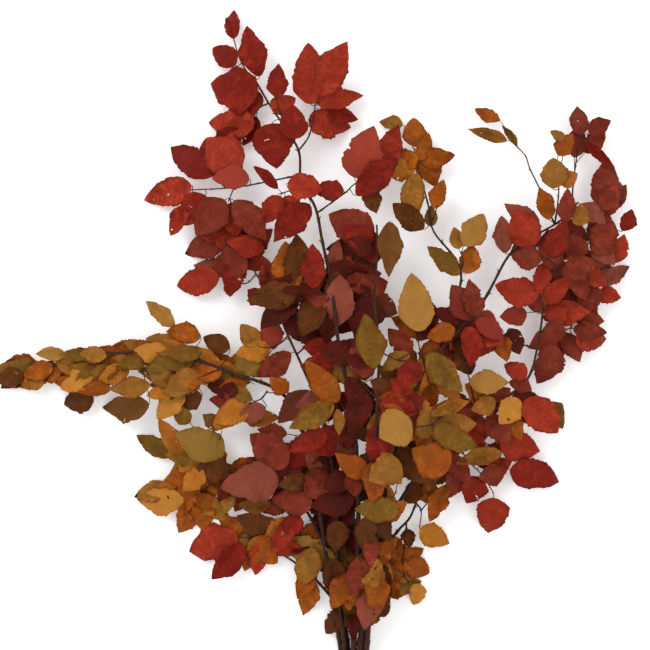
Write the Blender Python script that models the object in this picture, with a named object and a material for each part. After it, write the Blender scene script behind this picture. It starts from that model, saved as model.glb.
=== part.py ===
"""Bunch of cut, dried beech branches with red and golden autumn leaves, lying on a surface.

Metres, +Z up.  The cut ends point to -Y, the leafy crown fans out to +Y, +X and -X,
and the lowest leaves and stems rest on Z = 0.

Each stem is one node.  Each side shoot, with the leaves that grow on it, is one node.
The shoots stand a fraction of a millimetre clear of the stems that bear them.
"""
import math

import bpy
from mathutils import Matrix, Vector
from mathutils.bvhtree import BVHTree

# ---- driving dimensions, in metres ----
LEAF_HALF_THICKNESS = 0.0005
TEST_EXTRA = 0.0009
SHOOT_RADIUS = 0.0012
SHOOT_TIP_RADIUS = 0.0009
SHOOT_GAP = 0.0009
STALK_LENGTH = 0.0060
STALK_HALF_WIDTH = 0.0009
JOINT_SPACING = 0.0030
TWIG_HALF_THICKNESS = 0.0010
LEAF_TRUE_WIDTH = 0.62
DEEPEST_FOLD = 0.012
GROUND_TIP_HEIGHT = 0.0011
BELLY_HEIGHT = 0.054
LOW_STATION = 0.30
HIGH_STATION = 0.66
LOW_SPREAD = 0.90
HIGH_SPREAD = 0.92
SMALLEST_LEAF_WIDTH = 0.025
MOST_TRIES = 60

# ---- joints of leaves and side twigs on a twig, in metres ----
FIRST_JOINT = 0.0024
FIRST_SIDE_JOINT = 0.0046
LAST_JOINT_GAP = 0.0018
WIDEST_JOINT = 0.0011
SIDE_TWIG_CUT = 0.0030
CORNER_GAP = 0.0006
BEND_BEHIND = 0.0045
BEND_BESIDE = 0.0060

# ---- clearances and steps of the layout, in metres ----
WOOD_GAP = 0.0005
LOWEST_TWIG = 0.003
TWIG_LIFT = 0.003
TWIG_LIFTS = 8
LEAF_RISES = (0.0, 0.003, -0.003, 0.006, -0.006, 0.010, -0.010, 0.015, -0.015)
LEAF_TURNS = (0.0, 0.15, -0.15, 0.30, -0.30, 0.50, -0.50, 0.75, -0.75)
LEAF_ROLLS = (0.0, 0.2, -0.2, 0.45, -0.45)

# ---- colours of the coarse solids ----
COLOURS = {
    "wood": (0.09, 0.055, 0.04),
    "R": (0.36, 0.045, 0.03),
    "D": (0.20, 0.015, 0.012),
    "M": (0.22, 0.05, 0.045),
    "B": (0.09, 0.02, 0.015),
    "G": (0.45, 0.19, 0.04),
    "O": (0.33, 0.10, 0.015),
    "T": (0.30, 0.15, 0.05),
    "V": (0.20, 0.13, 0.035),
    "N": (0.14, 0.05, 0.015),
}
SLOT_NAMES = {
    "wood": "bark",
    "R": "leaf_red",
    "D": "leaf_deep_red",
    "M": "leaf_rose_brown",
    "B": "leaf_maroon",
    "G": "leaf_gold",
    "O": "leaf_orange_brown",
    "T": "leaf_tan",
    "V": "leaf_olive",
    "N": "leaf_dark_brown",
}

# ---- stems: name, radius at the cut end, radius at the tip, centre line from the cut end ----
STEMS = (
    ("stem_red_top", .0042, .0013, (
        (.0605, -.492, .0135), (.0610, -.420, .0140), (.066, -.330, .030), (.067, -.200, .055),
        (.060, -.080, .078), (.041, .010, .088), (.031, .091, .090), (.017, .161, .084),
        (.008, .205, .076), (-.012, .245, .066), (-.017, .290, .056), (-.055, .350, .042),
        (-.075, .385, .034))),
    ("stem_red_left", .0040, .0013, (
        (.0510, -.490, .0135), (.0500, -.420, .0140), (.040, -.330, .026), (.036, -.200, .042),
        (.020, -.090, .052), (-.007, -.021, .054), (-.028, .025, .052), (-.046, .066, .048),
        (-.060, .093, .044))),
    ("stem_left_arm", .0040, .0012, (
        (.0460, -.488, .0042), (.0440, -.420, .0044), (.030, -.330, .020), (.008, -.190, .028),
        (-.028, -.063, .034), (-.112, -.021, .042), (-.196, .004, .042), (-.300, .004, .034),
        (-.395, -.012, .022))),
    ("stem_lower_left", .0040, .0012, (
        (.0555, -.493, .0042), (.0540, -.420, .0044), (.042, -.340, .0150), (.018, -.262, .0150),
        (-.028, -.192, .016), (-.112, -.165, .018))),
    ("stem_low_shoot", .0038, .0012, (
        (.0650, -.487, .0042), (.0640, -.425, .0044), (.052, -.372, .0042), (.016, -.325, .0065),
        (-.020, -.292, .014), (-.042, -.278, .016))),
    ("stem_gold_low", .0040, .0012, (
        (.0745, -.490, .0042), (.0760, -.415, .0048), (.092, -.350, .012), (.112, -.266, .022),
        (.125, -.243, .025), (.142, -.222, .028), (.160, -.170, .032))),
    ("stem_red_right", .0042, .0013, (
        (.0700, -.492, .0135), (.0735, -.415, .0150), (.090, -.330, .026), (.112, -.230, .037),
        (.150, -.165, .046), (.182, -.133, .050), (.240, -.079, .054), (.275, -.054, .054),
        (.303, -.028, .054), (.316, .014, .052), (.326, .078, .050))),
    ("stem_red_upper", .0042, .0013, (
        (.0655, -.489, .0230), (.0690, -.410, .0270), (.083, -.300, .050), (.106, -.180, .069),
        (.140, -.060, .082), (.170, .000, .086), (.203, .036, .086), (.238, .078, .082),
        (.272, .138, .074), (.300, .162, .068), (.345, .188, .060), (.372, .215, .054))),
    ("stem_gold_top", .0040, .0012, (
        (.0560, -.491, .0230), (.0600, -.410, .0275), (.077, -.300, .0410), (.096, -.180, .053),
        (.128, -.060, .066), (.168, .020, .068), (.205, .090, .062), (.205, .130, .058),
        (.172, .175, .050), (.165, .212, .044))),
    ("stem_centre", .0042, .0013, (
        (.0746, -.488, .0232), (.0795, -.410, .0290), (.084, -.330, .052), (.084, -.250, .070),
        (.088, -.150, .092), (.092, -.060, .104), (.094, .020, .106), (.088, .075, .102),
        (.092, .140, .090), (.092, .182, .080))),
)

# ---- shoots: name, stem that bears it, twig lines, leaves ----
# A twig line's first point lies over the stem and takes its height from it.  A second line
# starts on the first one.  A leaf is: base x, base y, tip x, tip y, width, colour, and
# optionally "g" where its tip hangs to the ground.
SHOOTS = (
    ("shoot_top_tip", "stem_red_top", (
        ((-.071, .380, 0), (-.090, .402, .030), (-.101, .425, .024), (-.107, .446, .020)),
    ), (
        (-.108, .448, -.108, .492, .025, "D", "g"), (-.105, .409, -.138, .437, .034, "D"),
        (-.071, .393, -.088, .462, .042, "D"),
    )),
    ("shoot_top_left", "stem_red_top", (
        ((-.058, .354, 0), (-.072, .348, .034), (-.080, .334, .028)),
    ), (
        (-.074, .366, -.140, .385, .060, "D"), (-.078, .328, -.144, .332, .046, "R", "g"),
    )),
    ("shoot_top_centre", "stem_red_top", (
        ((-.026, .305, 0), (-.038, .330, .058), (-.046, .354, .060)),
    ), (
        (-.046, .360, -.043, .405, .029, "D"), (-.052, .342, -.020, .362, .032, "R"),
        (-.020, .302, -.024, .350, .042, "D"), (-.052, .324, -.046, .261, .054, "D"),
    )),
    ("shoot_top_right", "stem_red_top", (
        ((-.017, .285, 0), (-.002, .306, .050), (.004, .330, .044), (.007, .352, .038)),
    ), (
        (.002, .353, -.003, .445, .052, "R"), (.013, .364, .052, .437, .046, "R"),
        (.012, .352, .075, .368, .034, "R"), (-.002, .331, .058, .326, .044, "R", "g"),
    )),
    ("shoot_left_wing", "stem_red_top", (
        ((-.0135, .252, 0), (-.060, .243, .058), (-.105, .236, .048), (-.164, .234, .034)),
        ((-.118, .2355, .0456), (-.128, .247, .040), (-.136, .254, .036)),
        ((-.105, .236, .048), (-.109, .228, .046), (-.112, .221, .044)),
    ), (
        (-.132, .254, -.198, .298, .046, "D", "g"), (-.098, .260, -.145, .307, .056, "R"),
        (-.166, .240, -.236, .222, .048, "R", "g"), (-.146, .226, -.178, .184, .044, "D"),
        (-.118, .219, -.160, .170, .050, "M"), (-.106, .218, -.060, .162, .042, "M"),
        (-.084, .247, -.136, .248, .036, "R"),
    )),
    ("shoot_wing_root", "stem_red_top", (
        ((-.004, .229, 0), (-.022, .230, .074), (-.038, .226, .074)),
    ), (
        (-.030, .240, .018, .231, .040, "R"), (-.040, .222, -.062, .184, .034, "R"),
        (-.034, .222, -.014, .176, .036, "R"), (.000, .211, -.048, .156, .042, "D"),
        (-.044, .232, -.077, .262, .016, "D"),
    )),
    ("shoot_fork_right", "stem_red_top", (
        ((.0095, .198, 0), (.030, .213, .072), (.050, .228, .068), (.060, .238, .064),
         (.086, .256, .058)),
    ), (
        (.047, .229, .005, .232, .032, "D"), (.062, .248, .088, .318, .056, "R"),
        (.104, .262, .124, .325, .038, "R"), (.064, .224, .122, .272, .042, "D"),
        (.080, .236, .092, .199, .030, "N"),
    )),
    ("shoot_left_red", "stem_red_left", (
        ((-.056, .086, 0), (-.075, .116, .042), (-.090, .138, .034), (-.112, .146, .028)),
        ((-.075, .116, .042), (-.090, .103, .032), (-.112, .109, .022)),
    ), (
        (-.118, .164, -.178, .146, .040, "M", "g"), (-.064, .150, -.116, .162, .034, "R"),
        (-.086, .132, -.140, .124, .044, "M"), (-.114, .122, -.166, .130, .032, "M"),
        (-.127, .113, -.189, .100, .040, "R", "g"), (-.111, .107, -.112, .084, .018, "R"),
        (-.068, .094, -.083, .072, .030, "D"), (-.053, .086, -.061, .138, .032, "M"),
    )),
    ("shoot_heart_gold", "stem_red_top", (
        ((.032, .086, 0), (.010, .088, .094), (-.012, .090, .092)),
    ), (
        (-.024, .088, -.034, .160, .046, "O"), (.006, .094, .004, .155, .034, "D"),
        (.024, .078, -.020, .080, .030, "M"),
    )),
    ("shoot_heart_rose", "stem_red_top", (
        ((.026, .118, 0), (.034, .112, .078), (.046, .100, .074), (.056, .084, .072)),
    ), (
        (.044, .098, .034, .145, .034, "M"), (.058, .088, .107, .104, .048, "M"),
        (.064, .100, .086, .146, .032, "N"), (.086, .074, .120, .060, .034, "B"),
    )),
    ("shoot_brown_top", "stem_centre", (
        ((.092, .150, 0), (.098, .162, .082), (.104, .176, .078)),
    ), (
        (.088, .163, .026, .198, .052, "M"), (.110, .186, .108, .110, .038, "N"),
        (.084, .158, .022, .150, .030, "B"),
    )),
    ("shoot_gold_crest", "stem_gold_top", (
        ((.166, .208, 0), (.156, .246, .044), (.150, .272, .040), (.146, .290, .034),
         (.134, .314, .026)),
    ), (
        (.150, .294, .146, .337, .036, "O"), (.130, .326, .098, .333, .022, "T", "g"),
        (.146, .286, .124, .262, .030, "O"), (.152, .290, .178, .240, .038, "O"),
        (.148, .256, .140, .184, .034, "T"),
    )),
    ("shoot_gold_side", "stem_gold_top", (
        ((.169, .190, 0), (.173, .196, .050), (.176, .206, .050)),
    ), (
        (.172, .206, .187, .248, .026, "O"), (.168, .182, .169, .212, .020, "V"),
        (.158, .178, .114, .212, .036, "N"),
    )),
    ("shoot_gold_pair", "stem_gold_top", (
        ((.205, .120, 0), (.211, .128, .062), (.210, .142, .060)),
    ), (
        (.213, .154, .243, .200, .038, "T"), (.206, .150, .200, .181, .024, "T"),
        (.216, .116, .226, .158, .030, "O"), (.206, .114, .163, .154, .030, "V"),
    )),
    ("shoot_curls", "stem_red_upper", (
        ((.338, .184, 0), (.322, .226, .056), (.306, .262, .048), (.300, .282, .040),
         (.280, .304, .032)),
    ), (
        (.266, .331, .234, .352, .022, "O", "g"), (.276, .303, .220, .318, .020, "T"),
        (.290, .296, .271, .326, .012, "V"),
    )),
    ("shoot_gold_right", "stem_red_upper", (
        ((.338, .185, 0), (.340, .204, .072), (.342, .226, .074), (.343, .252, .068)),
    ), (
        (.342, .278, .362, .308, .026, "O"), (.350, .300, .331, .312, .016, "T"),
        (.334, .232, .334, .274, .040, "T"), (.346, .238, .368, .253, .024, "O"),
        (.330, .190, .318, .236, .026, "O"), (.352, .186, .353, .232, .028, "M"),
    )),
    ("shoot_far_right", "stem_red_upper", (
        ((.364, .206, 0), (.366, .240, .048), (.374, .290, .040), (.378, .308, .034)),
    ), (
        (.379, .310, .380, .356, .028, "M", "g"), (.390, .314, .420, .330, .026, "M"),
        (.374, .182, .374, .213, .026, "T"), (.386, .300, .426, .266, .016, "D"),
    )),
    ("shoot_big_rose", "stem_red_right", (
        ((.325, .075, 0), (.340, .100, .050), (.362, .124, .046), (.388, .158, .044),
         (.408, .192, .040)),
        ((.340, .100, .050), (.366, .098, .038), (.392, .104, .028)),
    ), (
        (.412, .204, .420, .282, .050, "M", "g"), (.436, .176, .448, .206, .024, "D"),
        (.400, .142, .415, .200, .044, "M"), (.428, .132, .440, .172, .026, "R"),
        (.386, .146, .342, .168, .034, "M"),
        (.400, .102, .453, .128, .026, "M", "g"), (.398, .118, .430, .148, .030, "M"),
        (.402, .086, .438, .083, .026, "R"), (.388, .064, .396, .114, .034, "M"),
        (.370, .064, .356, .100, .030, "M"),
    )),
    ("shoot_right_crown", "stem_red_upper", (
        ((.285, .150, 0), (.300, .148, .076), (.318, .140, .078), (.338, .128, .076)),
    ), (
        (.306, .152, .283, .208, .048, "R"), (.318, .134, .276, .140, .034, "M"),
        (.334, .122, .330, .178, .038, "M"), (.348, .112, .388, .134, .034, "M"),
        (.270, .144, .267, .197, .030, "M"),
    )),
    ("shoot_right_mid", "stem_red_right", (
        ((.321, .055, 0), (.322, .070, .060), (.318, .084, .062)),
    ), (
        (.317, .086, .257, .100, .044, "R"), (.316, .062, .316, .098, .026, "M"),
        (.344, .046, .336, .080, .036, "R"), (.300, .062, .262, .056, .030, "D"),
    )),
    ("shoot_right_edge", "stem_red_right", (
        ((.318, .035, 0), (.340, .036, .040), (.364, .040, .032)),
    ), (
        (.372, .026, .421, .025, .036, "R", "g"), (.376, .054, .413, .050, .024, "M"),
        (.330, .022, .348, .052, .034, "M"), (.340, .018, .320, -.038, .046, "M"),
    )),
    ("shoot_right_inner", "stem_red_right", (
        ((.3155, .012, 0), (.294, .018, .060), (.270, .030, .062)),
    ), (
        (.276, .040, .290, .004, .028, "B"), (.258, .032, .272, -.006, .026, "O"),
        (.252, .036, .228, .000, .034, "R"), (.258, .046, .216, .048, .036, "R"),
    )),
    ("shoot_right_knee", "stem_red_right", (
        ((.300, -.031, 0), (.304, -.040, .058), (.308, -.050, .056)),
    ), (
        (.300, -.026, .270, -.010, .030, "R"), (.306, -.044, .276, -.034, .022, "M"),
        (.298, -.058, .342, -.104, .050, "R"), (.330, -.062, .352, -.100, .030, "V"),
        (.290, -.058, .262, -.092, .036, "G"),
    )),
    ("shoot_upper_maroon", "stem_red_upper", (
        ((.210, .043, 0), (.216, .048, .092), (.222, .054, .094)),
    ), (
        (.220, .052, .194, .100, .040, "M"), (.228, .056, .218, .108, .030, "M"),
        (.198, .040, .160, .028, .028, "O"),
    )),
    ("shoot_upper_gold", "stem_red_upper", (
        ((.160, -.018, 0), (.152, .004, .096), (.148, .020, .098)),
    ), (
        (.150, .036, .140, .117, .050, "T"), (.160, .006, .208, -.046, .040, "V"),
        (.138, .006, .106, .040, .032, "M"),
    )),
    ("shoot_mid_gold", "stem_red_right", (
        ((.236, -.082, 0), (.228, -.064, .064), (.222, -.036, .062), (.214, -.004, .060)),
    ), (
        (.256, -.058, .222, -.072, .028, "T"), (.220, -.034, .273, -.034, .036, "T"),
        (.204, .012, .224, -.024, .034, "N"),
    )),
    ("shoot_low_red", "stem_red_right", (
        ((.184, -.132, 0), (.206, -.122, .046), (.230, -.118, .042), (.252, -.124, .038),
         (.268, -.142, .032)),
        ((.206, -.122, .046), (.222, -.146, .036), (.240, -.164, .030), (.256, -.188, .024)),
    ), (
        (.266, -.118, .324, -.133, .044, "R"), (.238, -.120, .222, -.072, .048, "R"),
        (.252, -.150, .262, -.182, .034, "M"), (.280, -.158, .353, -.178, .048, "D", "g"),
        (.236, -.168, .220, -.206, .044, "D"), (.258, -.198, .253, -.251, .048, "R", "g"),
        (.268, -.134, .202, -.148, .028, "T"),
    )),
    ("shoot_low_gold", "stem_gold_low", (
        ((.148, -.204, 0), (.156, -.216, .026), (.155, -.236, .020)),
        ((.156, -.216, .026), (.168, -.200, .034), (.180, -.190, .036)),
    ), (
        (.155, -.242, .198, -.266, .036, "G", "g"), (.192, -.178, .167, -.230, .030, "O"),
        (.154, -.180, .132, -.204, .028, "N"),
    )),
    ("shoot_dangle", "stem_gold_low", (
        ((.136, -.230, 0), (.134, -.262, .018), (.131, -.300, .012), (.138, -.318, .010)),
    ), (
        (.137, -.242, .140, -.268, .022, "N"), (.140, -.288, .169, -.308, .034, "O", "g"),
        (.156, -.322, .146, -.352, .026, "G"), (.128, -.312, .102, -.318, .014, "O"),
    )),
    ("shoot_centre_tan", "stem_centre", (
        ((.088, -.150, 0), (.112, -.122, .108), (.138, -.096, .112), (.164, -.090, .112)),
    ), (
        (.136, -.082, .094, -.106, .056, "T"), (.184, -.076, .144, -.106, .046, "T"),
        (.188, -.150, .138, -.122, .052, "O"), (.206, -.054, .158, -.078, .020, "T"),
        (.166, -.070, .216, -.058, .022, "O"),
    )),
    ("shoot_centre_gold", "stem_centre", (
        ((.085, -.225, 0), (.102, -.206, .088), (.116, -.186, .092)),
    ), (
        (.124, -.142, .080, -.166, .050, "T"), (.122, -.206, .062, -.208, .036, "V"),
        (.062, -.190, .062, -.140, .026, "M"),
    )),
    ("shoot_centre_olive", "stem_centre", (
        ((.0935, .010, 0), (.104, .004, .116), (.118, -.002, .118)),
    ), (
        (.088, -.014, .074, .060, .042, "V"), (.134, .006, .098, -.018, .026, "T"),
        (.150, -.008, .116, -.034, .036, "D"),
    )),
    ("shoot_centre_deep", "stem_centre", (
        ((.092, -.055, 0), (.078, -.042, .098), (.068, -.028, .096)),
    ), (
        (.086, -.024, .056, .014, .034, "M"), (.072, -.058, .050, -.026, .034, "B"),
        (.060, .010, .014, .004, .038, "B"), (.110, -.040, .082, -.030, .022, "N"),
    )),
    ("shoot_heart_maroon", "stem_red_top", (
        ((.050, -.030, 0), (.038, -.034, .086), (.030, -.044, .086)),
    ), (
        (.040, -.060, -.006, -.004, .038, "O"), (.034, -.064, -.028, -.096, .038, "V"),
        (.052, -.080, .050, -.130, .028, "B"),
        (.022, -.100, -.028, -.128, .034, "D"), (.038, -.070, .040, -.106, .018, "T"),
    )),
    ("shoot_heart_dark", "stem_red_left", (
        ((-.018, .004, 0), (-.002, .018, .060), (.018, .030, .062)),
    ), (
        (.022, .018, -.020, .056, .046, "B"), (.034, .036, .062, .066, .030, "B"),
        (-.026, .006, -.076, -.028, .036, "M"),
    )),
    ("shoot_arm_red", "stem_red_left", (
        ((-.030, .030, 0), (-.040, .020, .050), (-.050, .014, .046)),
    ), (
        (-.050, .012, -.058, .058, .034, "R"), (-.072, .016, -.096, .046, .030, "T"),
        (-.064, -.002, -.122, -.020, .046, "V"),
    )),
    ("shoot_left_inner", "stem_left_arm", (
        ((-.060, -.048, 0), (-.068, -.058, .042), (-.082, -.064, .040)),
    ), (
        (-.062, -.070, -.100, -.086, .028, "M"), (-.100, -.050, -.145, -.040, .028, "B"),
        (-.080, -.060, -.115, -.038, .022, "V"), (-.030, -.048, -.056, -.028, .026, "O"),
        (-.090, -.088, -.042, -.086, .028, "O"), (-.104, -.062, -.142, -.060, .024, "M"),
    )),
    ("shoot_arm_a", "stem_left_arm", (
        ((-.125, -.017, 0), (-.148, -.026, .048), (-.164, -.036, .046)),
    ), (
        (-.164, -.042, -.216, -.036, .030, "V"), (-.150, -.054, -.192, -.062, .034, "N"),
        (-.112, .012, -.150, .028, .030, "N"), (-.200, -.020, -.242, -.020, .026, "V"),
    )),
    ("shoot_arm_b", "stem_left_arm", (
        ((-.140, -.013, 0), (-.160, .002, .044), (-.180, .014, .044)),
    ), (
        (-.152, .006, -.200, .004, .028, "V"), (-.152, .028, -.200, .036, .034, "O"),
        (-.184, .014, -.230, .026, .032, "T"), (-.188, .042, -.228, .078, .026, "T"),
    )),
    ("shoot_arm_c", "stem_left_arm", (
        ((-.215, .004, 0), (-.236, -.006, .038), (-.262, -.012, .036), (-.290, -.016, .032),
         (-.310, -.018, .028)),
    ), (
        (-.232, .010, -.284, .013, .028, "O"), (-.246, -.006, -.290, -.010, .024, "T"),
        (-.222, -.038, -.278, -.044, .030, "T"), (-.224, -.066, -.295, -.072, .042, "N", "g"),
        (-.284, .002, -.322, .005, .026, "T"), (-.298, -.026, -.346, -.018, .032, "V"),
        (-.278, -.044, -.324, -.050, .024, "O"), (-.304, -.058, -.350, -.068, .038, "N", "g"),
        (-.302, .006, -.350, .003, .022, "V"),
    )),
    ("shoot_arm_tip", "stem_left_arm", (
        ((-.345, -.004, 0), (-.366, -.016, .022), (-.398, -.024, .016)),
    ), (
        (-.350, -.020, -.390, -.026, .034, "O"), (-.342, .003, -.386, .004, .022, "T"),
        (-.374, -.036, -.420, -.036, .028, "T"), (-.386, -.008, -.430, -.006, .024, "O"),
        (-.404, -.024, -.450, -.034, .028, "N", "g"), (-.326, -.034, -.360, -.036, .020, "O"),
    )),
    ("shoot_low_tan", "stem_lower_left", (
        ((-.088, -.173, 0), (-.108, -.154, .032), (-.136, -.140, .034)),
    ), (
        (-.120, -.136, -.188, -.106, .050, "V"), (-.124, -.100, -.150, -.080, .022, "N"),
        (-.168, -.092, -.192, -.072, .026, "V"), (-.178, -.138, -.212, -.086, .030, "O"),
    )),
    ("shoot_low_far", "stem_lower_left", (
        ((-.108, -.166, 0), (-.132, -.168, .018), (-.158, -.166, .014), (-.180, -.172, .010)),
        ((-.132, -.168, .018), (-.142, -.182, .016), (-.158, -.194, .012)),
    ), (
        (-.192, -.140, -.247, -.112, .028, "V", "g"), (-.154, -.164, -.204, -.172, .036, "O"),
        (-.178, -.203, -.246, -.203, .040, "G", "g"), (-.112, -.160, -.160, -.154, .036, "N"),
        (-.164, -.200, -.124, -.212, .026, "O", "g"), (-.112, -.190, -.118, -.220, .024, "T"),
    )),
    ("shoot_rose_high", "stem_lower_left", (
        ((-.040, -.188, 0), (-.048, -.176, .040), (-.056, -.164, .046)),
    ), (
        (-.044, -.170, -.124, -.180, .060, "M"), (-.032, -.152, -.084, -.108, .052, "M"),
    )),
    ("shoot_rose_low", "stem_lower_left", (
        ((-.012, -.204, 0), (-.004, -.197, .034), (.002, -.188, .040)),
        ((-.004, -.197, .034), (-.014, -.214, .030), (-.026, -.224, .026)),
    ), (
        (.004, -.198, .020, -.150, .048, "M"), (.000, -.172, -.044, -.178, .028, "N"),
        (.004, -.206, -.054, -.200, .038, "M"),
        (-.016, -.222, -.034, -.252, .030, "D"), (-.056, -.206, -.102, -.208, .024, "N"),
    )),
    ("shoot_low_tip", "stem_low_shoot", (
        ((-.040, -.279, 0), (-.052, -.264, .020), (-.076, -.257, .018), (-.100, -.255, .014)),
    ), (
        (-.102, -.254, -.172, -.277, .058, "R", "g"), (-.094, -.264, -.138, -.312, .038, "D"),
        (-.044, -.248, -.104, -.224, .040, "N"), (-.084, -.258, -.046, -.292, .042, "O"),
    )),
    ("shoot_skirt_left", "stem_low_shoot", (
        ((.010, -.320, 0), (.006, -.300, .020), (.008, -.282, .024)),
    ), (
        (.016, -.236, -.012, -.272, .038, "O"), (.004, -.268, -.014, -.322, .040, "T"),
        (.005, -.316, -.010, -.368, .032, "O", "g"), (.044, -.362, .022, -.392, .032, "N", "g"),
    )),
    ("shoot_skirt_mid", "stem_red_top", (
        ((.066, -.318, 0), (.062, -.306, .044), (.054, -.296, .048)),
    ), (
        (.030, -.280, .044, -.344, .036, "N"), (.102, -.276, .054, -.298, .032, "N"),
        (.062, -.352, .062, -.398, .018, "B"), (.040, -.228, .034, -.272, .034, "N"),
    )),
    ("shoot_skirt_right", "stem_gold_low", (
        ((.104, -.300, 0), (.100, -.312, .026), (.094, -.324, .028)),
    ), (
        (.090, -.300, .125, -.286, .030, "V"), (.094, -.322, .064, -.332, .028, "V"),
        (.100, -.310, .124, -.340, .030, "O"), (.112, -.346, .080, -.360, .026, "N", "g"),
    )),
)


# ---- small helpers ----
def nearest_on_line(line, x, y):
    """Closest point, seen from above, on a line of 3-D points; and its place along it."""
    best = None
    for index in range(len(line) - 1):
        a = Vector(line[index])
        b = Vector(line[index + 1])
        run = (b - a).xy
        along = 0.0
        if run.length_squared > 0:
            along = (Vector((x, y)) - a.xy).dot(run) / run.length_squared
        along = max(0.0, min(1.0, along))
        point = a.lerp(b, along)
        gap = (point.xy - Vector((x, y))).length
        if best is None or gap < best[0] - 1e-9:
            best = (gap, point, index, along)
    return best


def distance_to_line(line, point):
    """Shortest 3-D distance from a point to a line of points."""
    best = 1e9
    for index in range(len(line) - 1):
        a = Vector(line[index])
        run = Vector(line[index + 1]) - a
        along = max(0.0, min(1.0, (point - a).dot(run) / run.length_squared))
        best = min(best, (a + run * along - point).length)
    return best


def tube(line, start_radius, end_radius, sides):
    """Closed tube of even sections along a line, tapering from one end to the other."""
    points = [Vector(p) for p in line]
    lengths = [0.0]
    for a, b in zip(points, points[1:]):
        lengths.append(lengths[-1] + (b - a).length)
    verts = []
    frame = None
    for index, point in enumerate(points):
        before = points[max(index - 1, 0)]
        after = points[min(index + 1, len(points) - 1)]
        ahead = (after - before).normalized()
        if frame is None:
            frame = ahead.cross(Vector((0, 0, 1))).normalized()
        frame = (frame - ahead * frame.dot(ahead)).normalized()
        other = ahead.cross(frame)
        radius = start_radius + (end_radius - start_radius) * lengths[index] / lengths[-1]
        for side in range(sides):
            turn = 2 * math.pi * side / sides
            verts.append(point + (frame * math.cos(turn) + other * math.sin(turn)) * radius)
    faces = [tuple(reversed(range(sides)))]
    for ring in range(len(points) - 1):
        for side in range(sides):
            a = ring * sides + side
            b = ring * sides + (side + 1) % sides
            faces.append((a, b, b + sides, a + sides))
    last = (len(points) - 1) * sides
    faces.append(tuple(last + side for side in range(sides)))
    return verts, faces


# ---- sheets: twigs and leaves as one folded sheet, thickened both ways ----
class Sheet:
    """An open sheet of points and faces seen from above, each point with its half thickness."""

    def __init__(self):
        self.points = []
        self.halves = []
        self.normals = []
        self.faces = []
        self.kept = 0

    def pair(self, left, right, half):
        self.points += [left, right]
        self.halves += [half, half]
        self.normals += [Vector(), Vector()]
        return len(self.points) - 2, len(self.points) - 1

    def face(self, ring, steer=True):
        """Add a face.  Faces that don't steer leave already steered points as they are."""
        a, b, c = (self.points[i] for i in ring[:3])
        normal = (b - a).cross(c - b)
        if len(ring) == 4:
            normal = (self.points[ring[2]] - a).cross(self.points[ring[3]] - b)
        normal.normalize()
        for i in ring:
            if steer or self.fresh(i):
                self.normals[i] = self.normals[i] + normal
        self.faces.append(tuple(ring))

    def fresh(self, i):
        return i >= self.kept

    def keep(self):
        """Fix the normals of every point so far."""
        self.kept = len(self.points)

    def bridge(self, first, second, steer=True):
        self.face((first[0], first[1], second[1], second[0]), steer)

    def solid(self, extra=0.0):
        """Closed solid, thicker by extra on both sides."""
        count = len(self.points)
        verts = []
        for sign in (1.0, -1.0):
            for point, normal, half in zip(self.points, self.normals, self.halves):
                verts.append(point + normal.normalized() * (sign * (half + extra)))
        solid = []
        edges = set()
        for ring in self.faces:
            solid.append(ring)
            solid.append(tuple(i + count for i in reversed(ring)))
            for i, start in enumerate(ring):
                edges.add((start, ring[(i + 1) % len(ring)]))
        for start, end in sorted(edges):
            if (end, start) not in edges:
                solid.append((end, start, start + count, end + count))
        return verts, solid


def along_line(line, distance):
    """Point and level direction at a distance along a line."""
    points = [Vector(p) for p in line]
    for a, b in zip(points, points[1:]):
        step = (b - a).length
        if distance <= step or b == points[-1]:
            ahead = Vector((b.x - a.x, b.y - a.y, 0.0)).normalized()
            return a.lerp(b, min(distance / step, 1.0)), ahead
        distance -= step


def line_length(line):
    return sum((Vector(b) - Vector(a)).length for a, b in zip(line, line[1:]))


def spring_point(lines, x, y):
    """Line and distance along it from which a stalk to a place (x, y) springs."""
    best = None
    for number, line in enumerate(lines):
        gap, point, index, along = nearest_on_line(line, x, y)
        if best is None or gap < best[0] - 1e-9:
            before = sum((Vector(line[i + 1]) - Vector(line[i])).length for i in range(index))
            run = (Vector(line[index + 1]) - Vector(line[index])).length
            best = (gap, number, before + run * along)
    gap, number, distance = best
    return number, distance - max(STALK_LENGTH - gap, 0.0)


def joints_of(lines, leaves):
    """Where every side line and leaf springs: line, distance along it, and side."""
    wanted = {number: [] for number in range(len(lines))}
    for number, line in enumerate(lines[1:], 1):
        start = Vector(line[0])
        distance = spring_point(lines[:1], start.x, start.y)[1] + STALK_LENGTH
        target = Vector(line[1])
        wanted[0].append([distance, ("line", number), target])
    for number, leaf in enumerate(leaves):
        line, distance = spring_point(lines, leaf[0], leaf[1])
        wanted[line].append([distance, ("leaf", number), Vector((leaf[0], leaf[1], 0.0))])
    result = {}
    for number, items in wanted.items():
        length = line_length(lines[number])
        items.sort(key=lambda item: item[0])
        first = FIRST_JOINT if number == 0 else FIRST_SIDE_JOINT
        spacing = min(JOINT_SPACING, (length - first - SHOOT_RADIUS) / max(len(items), 1))
        last = first - spacing
        for item in items:
            item[0] = max(item[0], last + spacing)
            last = item[0]
        last = length - LAST_JOINT_GAP + spacing
        for item in reversed(items):
            item[0] = min(item[0], last - spacing)
            last = item[0]
        for distance, key, target in items:
            point, ahead = along_line(lines[number], distance)
            left = ahead.cross(target - point).z >= 0
            result[key] = (number, distance, left, min(WIDEST_JOINT, spacing * 0.45))
    return result


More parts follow.
